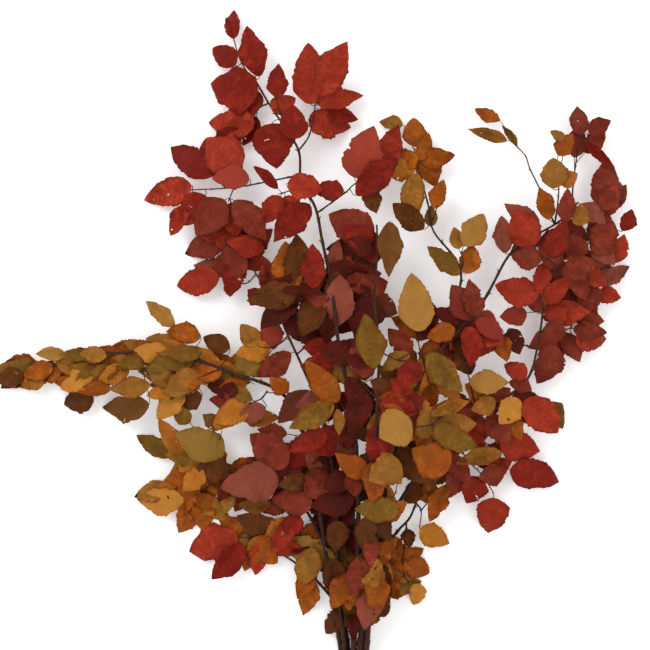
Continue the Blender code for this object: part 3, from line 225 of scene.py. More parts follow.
# ---- shoots: name, stem that bears it, twig lines, leaves ----
# A twig line's first point lies over the stem and takes its height from it.  A second line
# starts on the first one.  A leaf is: base x, base y, tip x, tip y, width, colour letter.
SHOOTS = (
    ("shoot_top_tip", "stem_red_top", (
        ((-.071, .380, 0), (-.090, .402, .030), (-.101, .425, .024), (-.107, .446, .020)),
    ), (
        (-.108, .448, -.108, .492, .025, "D"), (-.105, .409, -.138, .437, .034, "D"),
        (-.071, .393, -.088, .462, .042, "D"),
    )),
    ("shoot_top_left", "stem_red_top", (
        ((-.058, .354, 0), (-.072, .348, .034), (-.080, .334, .028)),
    ), (
        (-.074, .366, -.140, .385, .060, "D"), (-.078, .328, -.144, .332, .046, "R"),
    )),
    ("shoot_top_centre", "stem_red_top", (
        ((-.026, .305, 0), (-.038, .330, .058), (-.046, .354, .060)),
    ), (
        (-.046, .360, -.043, .405, .029, "D"), (-.052, .342, -.020, .362, .032, "R"),
        (-.020, .302, -.024, .350, .042, "D"), (-.052, .324, -.046, .261, .054, "D"),
    )),
    ("shoot_top_right", "stem_red_top", (
        ((-.017, .285, 0), (-.002, .306, .050), (.004, .330, .044), (.007, .352, .038)),
    ), (
        (.002, .353, -.003, .445, .052, "R"), (.013, .364, .052, .437, .046, "R"),
        (.012, .352, .075, .368, .034, "R"), (-.002, .331, .058, .326, .044, "R"),
    )),
    ("shoot_left_wing", "stem_red_top", (
        ((-.0135, .252, 0), (-.060, .243, .058), (-.105, .236, .048), (-.164, .234, .034)),
        ((-.118, .2355, .0456), (-.128, .247, .040), (-.136, .254, .036)),
        ((-.105, .236, .048), (-.109, .228, .046), (-.112, .221, .044)),
    ), (
        (-.132, .254, -.198, .298, .046, "D"), (-.098, .260, -.145, .307, .056, "R"),
        (-.166, .240, -.236, .222, .048, "R"), (-.146, .226, -.178, .184, .044, "D"),
        (-.118, .219, -.160, .170, .050, "M"), (-.106, .218, -.060, .162, .042, "M"),
        (-.084, .247, -.136, .248, .036, "R"),
    )),
    ("shoot_wing_root", "stem_red_top", (
        ((-.004, .229, 0), (-.022, .230, .074), (-.038, .226, .074)),
    ), (
        (-.030, .240, .018, .231, .040, "R"), (-.040, .222, -.062, .184, .034, "R"),
        (-.034, .222, -.014, .176, .036, "R"), (.000, .211, -.048, .156, .042, "D"),
        (-.044, .232, -.077, .262, .016, "D"),
    )),
    ("shoot_fork_right", "stem_red_top", (
        ((.0095, .198, 0), (.030, .213, .072), (.050, .228, .068), (.060, .238, .064),
         (.086, .256, .058)),
    ), (
        (.047, .229, .005, .232, .032, "D"), (.062, .248, .088, .318, .056, "R"),
        (.104, .262, .124, .325, .038, "R"), (.064, .224, .122, .272, .042, "D"),
        (.080, .236, .092, .199, .030, "N"),
    )),
    ("shoot_left_red", "stem_red_left", (
        ((-.056, .086, 0), (-.075, .116, .042), (-.090, .138, .034), (-.112, .146, .028)),
        ((-.075, .116, .042), (-.090, .103, .032), (-.112, .109, .022)),
    ), (
        (-.118, .164, -.178, .146, .040, "M"), (-.064, .150, -.116, .162, .034, "R"),
        (-.086, .132, -.140, .124, .044, "M"), (-.114, .122, -.166, .130, .032, "M"),
        (-.127, .113, -.189, .100, .040, "R"), (-.111, .107, -.112, .084, .018, "R"),
        (-.068, .094, -.083, .072, .030, "D"), (-.053, .086, -.061, .138, .032, "M"),
    )),
    ("shoot_heart_gold", "stem_red_top", (
        ((.032, .086, 0), (.010, .088, .094), (-.012, .090, .092)),
    ), (
        (-.024, .088, -.034, .160, .046, "O"), (.006, .094, .004, .155, .034, "D"),
        (.024, .078, -.020, .080, .030, "M"),
    )),
    ("shoot_heart_rose", "stem_red_top", (
        ((.026, .118, 0), (.034, .112, .078), (.046, .100, .074), (.056, .084, .072)),
    ), (
        (.044, .098, .034, .145, .034, "M"), (.058, .088, .107, .104, .048, "M"),
        (.064, .100, .086, .146, .032, "N"), (.086, .074, .120, .060, .034, "B"),
    )),
    ("shoot_brown_top", "stem_centre", (
        ((.092, .150, 0), (.098, .162, .082), (.104, .176, .078)),
    ), (
        (.088, .163, .026, .198, .052, "M"), (.110, .186, .108, .110, .038, "N"),
        (.084, .158, .022, .150, .030, "B"),
    )),
    ("shoot_gold_crest", "stem_gold_top", (
        ((.166, .208, 0), (.156, .246, .044), (.150, .272, .040), (.146, .290, .034),
         (.134, .314, .026)),
    ), (
        (.150, .294, .146, .337, .036, "O"), (.130, .326, .098, .333, .022, "T"),
        (.146, .286, .124, .262, .030, "O"), (.152, .290, .178, .240, .038, "O"),
        (.148, .256, .140, .184, .034, "T"),
    )),
    ("shoot_gold_side", "stem_gold_top", (
        ((.169, .190, 0), (.173, .196, .050), (.176, .206, .050)),
    ), (
        (.172, .206, .187, .248, .026, "O"), (.168, .182, .169, .212, .020, "V"),
        (.158, .178, .114, .212, .036, "N"),
    )),
    ("shoot_gold_pair", "stem_gold_top", (
        ((.205, .120, 0), (.211, .128, .062), (.210, .142, .060)),
    ), (
        (.213, .154, .243, .200, .038, "T"), (.206, .150, .200, .181, .024, "T"),
        (.216, .116, .226, .158, .030, "O"), (.206, .114, .163, .154, .030, "V"),
    )),
    ("shoot_curls", "stem_red_upper", (
        ((.338, .184, 0), (.322, .226, .056), (.306, .262, .048), (.300, .282, .040),
         (.280, .304, .032)),
    ), (
        (.266, .331, .234, .352, .022, "O"), (.276, .303, .220, .318, .020, "T"),
        (.290, .296, .271, .326, .012, "V"),
    )),
    ("shoot_gold_right", "stem_red_upper", (
        ((.338, .185, 0), (.340, .204, .072), (.342, .226, .074), (.343, .252, .068)),
    ), (
        (.342, .278, .362, .308, .026, "O"), (.350, .300, .331, .312, .016, "T"),
        (.334, .232, .334, .274, .040, "T"), (.346, .238, .368, .253, .024, "O"),
        (.330, .190, .318, .236, .026, "O"), (.352, .186, .353, .232, .028, "M"),
    )),
    ("shoot_far_right", "stem_red_upper", (
        ((.364, .206, 0), (.366, .240, .048), (.374, .290, .040), (.378, .308, .034)),
    ), (
        (.379, .310, .380, .356, .028, "M"), (.390, .314, .420, .330, .026, "M"),
        (.374, .182, .374, .213, .026, "T"), (.386, .300, .426, .266, .016, "D"),
    )),
    ("shoot_big_rose", "stem_red_right", (
        ((.325, .075, 0), (.340, .100, .050), (.362, .124, .046), (.388, .158, .044),
         (.408, .192, .040)),
        ((.340, .100, .050), (.366, .098, .038), (.392, .104, .028)),
    ), (
        (.412, .204, .420, .282, .050, "M"), (.436, .176, .448, .206, .024, "D"),
        (.400, .142, .415, .200, .044, "M"), (.428, .132, .440, .172, .026, "R"),
        (.386, .146, .342, .168, .034, "M"),
        (.400, .102, .453, .128, .026, "M"), (.398, .118, .430, .148, .030, "M"),
        (.402, .086, .438, .083, .026, "R"), (.388, .064, .396, .114, .034, "M"),
        (.370, .064, .356, .100, .030, "M"),
    )),
    ("shoot_right_crown", "stem_red_upper", (
        ((.285, .150, 0), (.300, .148, .076), (.318, .140, .078), (.338, .128, .076)),
    ), (
        (.306, .152, .283, .208, .048, "R"), (.318, .134, .276, .140, .034, "M"),
        (.334, .122, .330, .178, .038, "M"), (.348, .112, .388, .134, .034, "M"),
        (.270, .144, .267, .197, .030, "M"),
    )),
    ("shoot_right_mid", "stem_red_right", (
        ((.321, .055, 0), (.322, .070, .060), (.318, .084, .062)),
    ), (
        (.317, .086, .257, .100, .044, "R"), (.316, .062, .316, .098, .026, "M"),
        (.344, .046, .336, .080, .036, "R"), (.300, .062, .262, .056, .030, "D"),
    )),
    ("shoot_right_edge", "stem_red_right", (
        ((.318, .035, 0), (.340, .036, .040), (.364, .040, .032)),
    ), (
        (.372, .026, .421, .025, .036, "R"), (.376, .054, .413, .050, .024, "M"),
        (.330, .022, .348, .052, .034, "M"), (.340, .018, .320, -.038, .046, "M"),
    )),
    ("shoot_right_inner", "stem_red_right", (
        ((.3155, .012, 0), (.294, .018, .060), (.270, .030, .062)),
    ), (
        (.276, .040, .290, .004, .028, "B"), (.258, .032, .272, -.006, .026, "O"),
        (.252, .036, .228, .000, .034, "R"), (.258, .046, .216, .048, .036, "R"),
    )),
    ("shoot_right_knee", "stem_red_right", (
        ((.300, -.031, 0), (.304, -.040, .058), (.308, -.050, .056)),
    ), (
        (.300, -.026, .270, -.010, .030, "R"), (.306, -.044, .276, -.034, .022, "M"),
        (.298, -.058, .342, -.104, .050, "R"), (.330, -.062, .352, -.100, .030, "V"),
        (.290, -.058, .262, -.092, .036, "G"),
    )),
    ("shoot_upper_maroon", "stem_red_upper", (
        ((.210, .043, 0), (.216, .048, .092), (.222, .054, .094)),
    ), (
        (.220, .052, .194, .100, .040, "M"), (.228, .056, .218, .108, .030, "M"),
        (.198, .040, .160, .028, .028, "O"),
    )),
    ("shoot_upper_gold", "stem_red_upper", (
        ((.160, -.018, 0), (.152, .004, .096), (.148, .020, .098)),
    ), (
        (.150, .036, .140, .117, .050, "T"), (.160, .006, .208, -.046, .040, "V"),
        (.138, .006, .106, .040, .032, "M"),
    )),
    ("shoot_mid_gold", "stem_red_right", (
        ((.236, -.082, 0), (.228, -.064, .064), (.222, -.036, .062), (.214, -.004, .060)),
    ), (
        (.256, -.058, .222, -.072, .028, "T"), (.220, -.034, .273, -.034, .036, "T"),
        (.204, .012, .224, -.024, .034, "N"),
    )),
    ("shoot_low_red", "stem_red_right", (
        ((.184, -.132, 0), (.206, -.122, .046), (.230, -.118, .042), (.252, -.124, .038),
         (.268, -.142, .032)),
        ((.206, -.122, .046), (.222, -.146, .036), (.240, -.164, .030), (.256, -.188, .024)),
    ), (
        (.266, -.118, .324, -.133, .044, "R"), (.238, -.120, .222, -.072, .048, "R"),
        (.252, -.150, .262, -.182, .034, "M"), (.280, -.158, .353, -.178, .048, "D"),
        (.236, -.168, .220, -.206, .044, "D"), (.258, -.198, .253, -.251, .048, "R"),
        (.268, -.134, .202, -.148, .028, "T"),
    )),
    ("shoot_low_gold", "stem_gold_low", (
        ((.148, -.204, 0), (.156, -.216, .026), (.155, -.236, .020)),
        ((.156, -.216, .026), (.168, -.200, .034), (.180, -.190, .036)),
    ), (
        (.155, -.242, .198, -.266, .036, "G"), (.192, -.178, .167, -.230, .030, "O"),
        (.154, -.180, .132, -.204, .028, "N"),
    )),
    ("shoot_dangle", "stem_gold_low", (
        ((.136, -.230, 0), (.134, -.262, .018), (.131, -.300, .012), (.138, -.318, .010)),
    ), (
        (.137, -.242, .140, -.268, .022, "N"), (.140, -.288, .169, -.308, .034, "O"),
        (.156, -.322, .146, -.352, .026, "G"), (.128, -.312, .102, -.318, .014, "O"),
    )),
    ("shoot_centre_tan", "stem_centre", (
        ((.088, -.150, 0), (.112, -.122, .108), (.138, -.096, .112), (.164, -.090, .112)),
    ), (
        (.136, -.082, .094, -.106, .056, "T"), (.184, -.076, .144, -.106, .046, "T"),
        (.188, -.150, .138, -.122, .052, "O"), (.206, -.054, .158, -.078, .020, "T"),
        (.166, -.070, .216, -.058, .022, "O"),
    )),
    ("shoot_centre_gold", "stem_centre", (
        ((.085, -.225, 0), (.102, -.206, .088), (.116, -.186, .092)),
    ), (
        (.124, -.142, .080, -.166, .050, "T"), (.122, -.206, .062, -.208, .036, "V"),
        (.062, -.190, .062, -.140, .026, "M"),
    )),
    ("shoot_centre_olive", "stem_centre", (
        ((.0935, .010, 0), (.104, .004, .116), (.118, -.002, .118)),
    ), (
        (.088, -.014, .074, .060, .042, "V"), (.134, .006, .098, -.018, .026, "T"),
        (.150, -.008, .116, -.034, .036, "D"),
    )),
    ("shoot_centre_deep", "stem_centre", (
        ((.092, -.055, 0), (.078, -.042, .098), (.068, -.028, .096)),
    ), (
        (.086, -.024, .056, .014, .034, "M"), (.072, -.058, .050, -.026, .034, "B"),
        (.060, .010, .014, .004, .038, "B"), (.110, -.040, .082, -.030, .022, "N"),
    )),
    ("shoot_heart_maroon", "stem_red_top", (
        ((.050, -.030, 0), (.038, -.034, .086), (.030, -.044, .086)),
    ), (
        (.040, -.060, -.006, -.004, .038, "O"), (.034, -.064, -.028, -.096, .038, "V"),
        (.052, -.080, .050, -.130, .028, "B"),
        (.022, -.100, -.028, -.128, .034, "D"), (.038, -.070, .040, -.106, .018, "T"),
    )),
    ("shoot_heart_dark", "stem_red_left", (
        ((-.018, .004, 0), (-.002, .018, .060), (.018, .030, .062)),
    ), (
        (.022, .018, -.020, .056, .046, "B"), (.034, .036, .062, .066, .030, "B"),
        (-.026, .006, -.076, -.028, .036, "M"),
    )),
    ("shoot_arm_red", "stem_red_left", (
        ((-.030, .030, 0), (-.040, .020, .050), (-.050, .014, .046)),
    ), (
        (-.050, .012, -.058, .058, .034, "R"), (-.072, .016, -.096, .046, .030, "T"),
        (-.064, -.002, -.122, -.020, .046, "V"),
    )),
    ("shoot_left_inner", "stem_left_arm", (
        ((-.060, -.048, 0), (-.068, -.058, .042), (-.082, -.064, .040)),
    ), (
        (-.062, -.070, -.100, -.086, .028, "M"), (-.100, -.050, -.145, -.040, .028, "B"),
        (-.080, -.060, -.115, -.038, .022, "V"), (-.030, -.048, -.056, -.028, .026, "O"),
        (-.090, -.088, -.042, -.086, .028, "O"), (-.104, -.062, -.142, -.060, .024, "M"),
    )),
    ("shoot_arm_a", "stem_left_arm", (
        ((-.125, -.017, 0), (-.148, -.026, .048), (-.164, -.036, .046)),
    ), (
        (-.164, -.042, -.216, -.036, .030, "V"), (-.150, -.054, -.192, -.062, .034, "N"),
        (-.112, .012, -.150, .028, .030, "N"), (-.200, -.020, -.242, -.020, .026, "V"),
    )),
    ("shoot_arm_b", "stem_left_arm", (
        ((-.140, -.013, 0), (-.160, .002, .044), (-.180, .014, .044)),
    ), (
        (-.152, .006, -.200, .004, .028, "V"), (-.152, .028, -.200, .036, .034, "O"),
        (-.184, .014, -.230, .026, .032, "T"), (-.188, .042, -.228, .078, .026, "T"),
    )),
    ("shoot_arm_c", "stem_left_arm", (
        ((-.215, .004, 0), (-.236, -.006, .038), (-.262, -.012, .036), (-.290, -.016, .032),
         (-.310, -.018, .028)),
    ), (
        (-.232, .010, -.284, .013, .028, "O"), (-.246, -.006, -.290, -.010, .024, "T"),
        (-.222, -.038, -.278, -.044, .030, "T"), (-.224, -.066, -.295, -.072, .042, "N"),
        (-.284, .002, -.322, .005, .026, "T"), (-.298, -.026, -.346, -.018, .032, "V"),
        (-.278, -.044, -.324, -.050, .024, "O"), (-.304, -.058, -.350, -.068, .038, "N"),
        (-.302, .006, -.350, .003, .022, "V"),
    )),
    ("shoot_arm_tip", "stem_left_arm", (
        ((-.345, -.004, 0), (-.366, -.016, .022), (-.398, -.024, .016)),
    ), (
        (-.350, -.020, -.390, -.026, .034, "O"), (-.342, .003, -.386, .004, .022, "T"),
        (-.374, -.036, -.420, -.036, .028, "T"), (-.386, -.008, -.430, -.006, .024, "O"),
        (-.404, -.024, -.450, -.034, .028, "N"), (-.326, -.034, -.360, -.036, .020, "O"),
    )),
    ("shoot_low_tan", "stem_lower_left", (
        ((-.088, -.173, 0), (-.108, -.154, .032), (-.136, -.140, .034)),
    ), (
        (-.120, -.136, -.188, -.106, .050, "V"), (-.124, -.100, -.150, -.080, .022, "N"),
        (-.168, -.092, -.192, -.072, .026, "V"), (-.178, -.138, -.212, -.086, .030, "O"),
    )),
    ("shoot_low_far", "stem_lower_left", (
        ((-.108, -.166, 0), (-.132, -.168, .018), (-.158, -.166, .014), (-.180, -.172, .010)),
        ((-.132, -.168, .018), (-.142, -.182, .016), (-.158, -.194, .012)),
    ), (
        (-.192, -.140, -.247, -.112, .028, "V"), (-.154, -.164, -.204, -.172, .036, "O"),
        (-.178, -.203, -.246, -.203, .040, "G"), (-.112, -.160, -.160, -.154, .036, "N"),
        (-.164, -.200, -.124, -.212, .026, "O"), (-.112, -.190, -.118, -.220, .024, "T"),
    )),
    ("shoot_rose_high", "stem_lower_left", (
        ((-.040, -.188, 0), (-.048, -.176, .040), (-.056, -.164, .046)),
    ), (
        (-.044, -.170, -.124, -.180, .060, "M"), (-.032, -.152, -.084, -.108, .052, "M"),
    )),
    ("shoot_rose_low", "stem_lower_left", (
        ((-.012, -.204, 0), (-.004, -.197, .034), (.002, -.188, .040)),
        ((-.004, -.197, .034), (-.014, -.214, .030), (-.026, -.224, .026)),
    ), (
        (.004, -.198, .020, -.150, .048, "M"), (.000, -.172, -.044, -.178, .028, "N"),
        (.004, -.206, -.054, -.200, .038, "M"),
        (-.016, -.222, -.034, -.252, .030, "D"), (-.056, -.206, -.102, -.208, .024, "N"),
    )),
    ("shoot_low_tip", "stem_low_shoot", (
        ((-.040, -.279, 0), (-.052, -.264, .020), (-.076, -.257, .018), (-.100, -.255, .014)),
    ), (
        (-.102, -.254, -.172, -.277, .058, "R"), (-.094, -.264, -.138, -.312, .038, "D"),
        (-.044, -.248, -.104, -.224, .040, "N"), (-.084, -.258, -.046, -.292, .042, "O"),
    )),
    ("shoot_skirt_left", "stem_low_shoot", (
        ((.010, -.320, 0), (.006, -.300, .020), (.008, -.282, .024)),
    ), (
        (.016, -.236, -.012, -.272, .038, "O"), (.004, -.268, -.014, -.322, .040, "T"),
        (.005, -.316, -.010, -.368, .032, "O"), (.044, -.362, .022, -.392, .032, "N"),
    )),
    ("shoot_skirt_mid", "stem_red_top", (
        ((.066, -.318, 0), (.062, -.306, .044), (.054, -.296, .048)),
    ), (
        (.030, -.280, .044, -.344, .036, "N"), (.102, -.276, .054, -.298, .032, "N"),
        (.062, -.352, .062, -.398, .018, "B"), (.040, -.228, .034, -.272, .034, "N"),
    )),
    ("shoot_skirt_right", "stem_gold_low", (
        ((.104, -.300, 0), (.100, -.312, .026), (.094, -.324, .028)),
    ), (
        (.090, -.300, .125, -.286, .030, "V"), (.094, -.322, .064, -.332, .028, "V"),
        (.100, -.310, .124, -.340, .030, "O"), (.112, -.346, .080, -.360, .026, "N"),
    )),
)


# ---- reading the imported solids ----
def unique_points(name):
    """The different vertices of a CAD node, as rows."""
    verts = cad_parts[name].data.vertices
    points = np.array([v.co for v in verts])
    return np.unique(np.round(points, 6), axis=0)


def layout_shift():
    """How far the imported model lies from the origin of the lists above."""
    points = unique_points(STEMS[0][0])
    cut_end = points[points[:, 1] < points[:, 1].min() + CUT_END_DEPTH]
    return Vector(cut_end.mean(axis=0)) - Vector(STEMS[0][3][0])


SHIFT = layout_shift()


def nearest_on_line(line, x, y):
    """The point of a line nearest to (x, y) in plan: (gap, point, segment, share along it)."""
    best = None
    for index, (a, b) in enumerate(zip(line, line[1:])):
        a = Vector(a)
        b = Vector(b)
        run = Vector((b.x - a.x, b.y - a.y))
        share = 0.0
        if run.length_squared:
            share = Vector((x - a.x, y - a.y)).dot(run) / run.length_squared
        share = max(0.0, min(1.0, share))
        point = a.lerp(b, share)
        gap = math.hypot(point.x - x, point.y - y)
        if best is None or gap < best[0] - TIE:
            best = (gap, point, index, share)
    return best


def line_length(line):
    """Length of a line from end to end."""
    return sum((Vector(b) - Vector(a)).length for a, b in zip(line, line[1:]))


def along_line(line, distance):
    """The point at a distance along a line."""
    points = [Vector(p) for p in line]
    for a, b in zip(points, points[1:]):
        step = (b - a).length
        if distance <= step or b == points[-1]:
            return a.lerp(b, max(0.0, min(distance / step, 1.0)))
        distance -= step


def read_twigs(points, stem_line, lines):
    """The twig lines at the height that they have in the solid, starting inside the stem."""
    tree = tree_of(points)
    best = None
    steps = [0] + [sign * i for i in range(1, MOST_LIFTS + 1) for sign in (1, -1)]
    for lift in (step * LIFT_STEP for step in steps):
        moved = [[Vector((x, y, max(z + lift, LOWEST_TWIG))) for x, y, z in line] for line in lines]
        hits = sum(tree.find(p)[2] < TWIG_REACH for line in moved for p in line[1:])
        if best is None or hits > best[0]:
            best = (hits, moved)
    moved = best[1]
    moved[0][0] = nearest_on_line(stem_line, *lines[0][0][:2])[1]
    for line in moved[1:]:
        line[0] = nearest_on_line(moved[0], line[0].x, line[0].y)[1]
    return moved


def tree_of(points):
    """The points in a tree that finds the nearest one quickly."""
    tree = KDTree(len(points))
    for i, point in enumerate(points):
        tree.insert(point, i)
    tree.balance()
    return tree


def middles(points, x, y):
    """Heights halfway between the upper and lower skin of the solid at (x, y)."""
    near = points[np.hypot(points[:, 0] - x, points[:, 1] - y) < SAME_PLACE][:, 2]
    found = []
    for i, low in enumerate(near):
        for high in near[i + 1:]:
            if THINNEST_PLATE < abs(high - low) < THICKEST_PLATE:
                found.append((low + high) / 2)
    return found


def fold_of(length, half):
    """How far the margins of a narrow-looking leaf stand above its midrib."""
    wanted = LEAF_TRUE_WIDTH * length / 2
    fold = math.sqrt(max(wanted * wanted - half * half, 0.0)) * FOLD_SHARE + LEAST_FOLD * half
    return min(fold, LARGEST_FOLD)


def belly(length, along):
    """How far a leaf's midrib bows up over the line from its base to its tip."""
    return BELLY_HEIGHT * length * 4 * along * (1 - along)


def read_pose(points, leaf):
    """Height of the base, slope and tilt of a leaf in the solid, or None if it isn't there."""
    base = Vector(leaf[:2])
    run = Vector(leaf[2:4]) - base
    length = run.length
    half = leaf[4] / 2
    low_belly = belly(length, LOW_STATION)
    spine = None
    for tip in middles(points, *(base + run)):
        for low in middles(points, *(base + run * LOW_STATION)):
            slope = (tip - (low - low_belly)) / ((1 - LOW_STATION) * length)
            height = tip - slope * length
            level = height + slope * length * HIGH_STATION + belly(length, HIGH_STATION)
            for high in middles(points, *(base + run * HIGH_STATION)):
                miss = abs(level - high)
                if spine is None or miss < spine[0]:
                    spine = (miss, height, slope)
    if spine is None or spine[0] > WORST_SPINE_MISS:
        return None
    height, slope = spine[1:]
    level = height + slope * length * LOW_STATION + low_belly + fold_of(length, half) * MARGIN_STATION
    reach = half * MARGIN_STATION
    side = Vector((-run.y, run.x)) / length * reach
    margins = None
    for left in middles(points, *(base + run * LOW_STATION + side)):
        tilt = (left - level) / reach
        for right in middles(points, *(base + run * LOW_STATION - side)):
            miss = abs(level - tilt * reach - right)
            if margins is None or miss < margins[0]:
                margins = (miss, tilt)
    tilt = margins[1] if margins and margins[0] < WORST_MARGIN_MISS else 0.0
    return height, slope, tilt


# ---- leaf surface ----
def smooth(value):
    """A soft step from 0 to 1 while the value goes from 0 to 1."""
    value = np.clip(value, 0.0, 1.0)
    return value * value * (3 - 2 * value)


def outline(along, traits, straight):
    """Half width of a leaf along its length, as a share of its greatest."""
    along = np.clip(along, 0.0, 1.0)
    peak = traits.base_power / (traits.base_power + traits.tip_power)
    top = peak ** traits.base_power * (1 - peak) ** traits.tip_power
    egg = along ** traits.base_power * (1 - along) ** traits.tip_power / top
    diamond = np.minimum(along / DIAMOND_PEAK, (1 - along) / (1 - DIAMOND_PEAK))
    return egg + (diamond - egg) * (traits.diamond * straight)


def outline_wander(along, column, traits):
    """Unevenness of the margin, different on the two sides of a leaf."""
    left = column < 0
    scale = np.where(left, *traits.side_scales)
    result = 1.0
    for number, (turns, height) in enumerate(zip(traits.wander_turns, traits.wander_heights)):
        phase = np.where(left, *traits.wander_phases[number * 2:number * 2 + 2])
        result = result + height * np.sin(2 * math.pi * turns * along + phase)
    return scale * result


def crumple(along, side, traits):
    """Height of the soft dents and folds of a dried leaf, in shares of their greatest."""
    result = 0.0
    for (turns, heading), phase in zip(traits.dents, traits.dent_phases):
        place = along * math.cos(heading) + side * TYPICAL_HALF_WIDTH * math.sin(heading)
        result = result + np.sin(2 * math.pi * turns * place + phase)
    return result / len(traits.dents)


class Traits:
    """The chance features of one leaf, drawn in a fixed order from its own seed."""

    def __init__(self, number):
        draw = np.random.default_rng(LEAF_SEED + number)
        self.base_power = draw.uniform(0.50, 0.66)
        self.tip_power = draw.uniform(0.82, 0.98)
        self.diamond = draw.uniform(0.10, 0.45)
        self.side_scales = draw.uniform(0.90, 1.10, 2)
        self.wander_turns = [
            draw.uniform(low, high) for low, high in ((1.2, 2.4), (3.4, 5.0), (7.0, 9.0))]
        self.wander_heights = [
            draw.uniform(low, high) for low, high in ((0.03, 0.09), (0.02, 0.055), (0.008, 0.03))]
        self.wander_phases = draw.uniform(0.0, 2 * math.pi, 6)
        self.dents = [(draw.uniform(1.2, 3.6), draw.uniform(0.0, math.pi)) for i in range(4)]
        self.dent_phases = draw.uniform(0.0, 2 * math.pi, 4)
        self.dent_height = draw.uniform(0.3, 1.0) + (1.2 if draw.uniform() < 0.30 else 0.0)
        self.tone = draw.uniform(0.0, 1.0)
        self.age = draw.uniform(0.0, 1.0)
        self.wave = draw.uniform(0.4, 1.3) + (1.6 if draw.uniform() < 0.25 else 0.0)
        self.wave_turns = draw.uniform(1.6, 2.8)
        self.wave_phase = draw.uniform(0.0, 2 * math.pi, 2)
        self.tip_curl = draw.normal(0.0, 0.0035)
        self.cup = draw.normal(0.0, 0.0022)
        self.bend = draw.normal(0.0, 0.10)
        self.pleat = draw.uniform(0.6, 1.4)
        self.under = draw.uniform(0.0, 1.0) < 0.12
        self.holes = draw.integers(0, 3) if draw.uniform() < 0.22 else 0
        self.hole_places = draw.uniform(0.2, 0.85, 6)
        self.hole_sides = draw.integers(1, 11, 3)
        self.nicks = draw.integers(0, 3) if draw.uniform() < 0.35 else 0
        self.nick_rows = draw.integers(5, VEIN_GAPS * len(ROW_SHARES) - 4, 3)
        self.nick_sides = draw.integers(0, 2, 3)


def rounded_fold(side):
    """Share of the fold's height across a leaf: a V with a rounded bottom."""
    bottom = math.sqrt(FOLD_SOFTNESS)
    return (np.sqrt(side * side + FOLD_SOFTNESS) - bottom) / (math.sqrt(1 + FOLD_SOFTNESS) - bottom)


def leaf_grid(leaf, pose, traits):
    """Points of the blade in rows that follow the side veins, with the share for the veins' colour and the
    painted shade of their grooves, and the margin share.
    """
    height, slope, tilt = pose
    base = np.array((leaf[0], leaf[1], height))
    run = np.array((leaf[2] - leaf[0], leaf[3] - leaf[1], 0.0))
    length = np.linalg.norm(run)
    forward = run / length
    across = np.array((-forward[1], forward[0], 0.0))
    half = leaf[4] / 2
    fold = fold_of(length, half)
    rows = [(gap + share) / VEIN_GAPS for gap in range(VEIN_GAPS) for share in ROW_SHARES] + [1.0]
    row, column = np.meshgrid(rows, ACROSS, indexing="ij")
    slant = VEIN_SLANT * smooth(row / SLANT_START) * (1 - row) ** 0.8
    reach = np.abs(column)
    along = row + slant * reach ** 1.1
    gap = np.abs(np.sin(math.pi * row * VEIN_GAPS))
    between = smooth(row / FIRST_VEIN) * smooth((1 - row) / LAST_VEIN)
    straight = np.clip((BROAD_LEAF - leaf[4] / length) / (BROAD_LEAF - NARROW_LEAF), 0.0, 1.0)
    width = outline(along, traits, straight) * outline_wander(along, column, traits)
    tooth = 1.0 - TOOTH_DEPTH * gap * between * reach ** 6
    width = np.maximum(width * tooth, NARROWEST_ROW / half)
    side = column * width
    size = length / TYPICAL_LENGTH
    rise = slope * length * along + belly(length, along)
    rise += fold * rounded_fold(side) + tilt * half * side
    rise += PLEAT_HEIGHT * traits.pleat * size * gap * between * smooth(reach * 2.2)
    phase = np.where(column < 0, *traits.wave_phase)
    wave = np.sin(2 * math.pi * traits.wave_turns * along + phase)
    rise += WAVE_HEIGHT * traits.wave * size * wave * reach ** 2.4 * between
    inward = smooth(row / DENT_START) * (MIDDLE_DENT + (1 - MIDDLE_DENT) * reach)
    rise += DENT_HEIGHT * traits.dent_height * size * crumple(along, side, traits) * inward
    rise += traits.tip_curl * size * smooth((along - CURL_START) / (1 - CURL_START))
    rise += traits.cup * size * side * side
    sway = traits.bend * length * (along * along - along)
    points = base + forward * (along * length)[..., None]
    points = points + across * (side * half + sway)[..., None]
    points[..., 2] = height + rise
    # Where the veins and the midrib lie: their own colour and painted shade of the grooves over them go here.
    vein_and_groove_shade = (1 - smooth(gap * VEIN_SHARPNESS)) * between * smooth((1 - reach) * 8)
    vein_and_groove_shade = np.maximum(vein_and_groove_shade, reach == 0)
    return points, vein_and_groove_shade, reach


def grid_normals(points):
    """Upward unit normals at the points of a grid."""
    down_rows = np.gradient(points, axis=0)
    down_columns = np.gradient(points, axis=1)
    normals = np.cross(down_columns, down_rows)
    normals *= np.sign(normals[..., 2:3]) + (normals[..., 2:3] == 0)
    return normals / np.maximum(np.linalg.norm(normals, axis=-1, keepdims=True), 1e-12)


def missing_faces(traits, row_count, column_count):
    """Faces eaten away: small holes between veins, and nicks in the margin."""
    gone = set()
    for i in range(traits.holes):
        row = int(traits.hole_places[i] * row_count)
        gone.add((row, int(traits.hole_sides[i])))
    for i in range(traits.nicks):
        row = int(traits.nick_rows[i])
        column = 0 if traits.nick_sides[i] else column_count - 1
        gone.add((row, column))
        if traits.age > 0.5:
            gone.add((row + 1, column))
    return gone


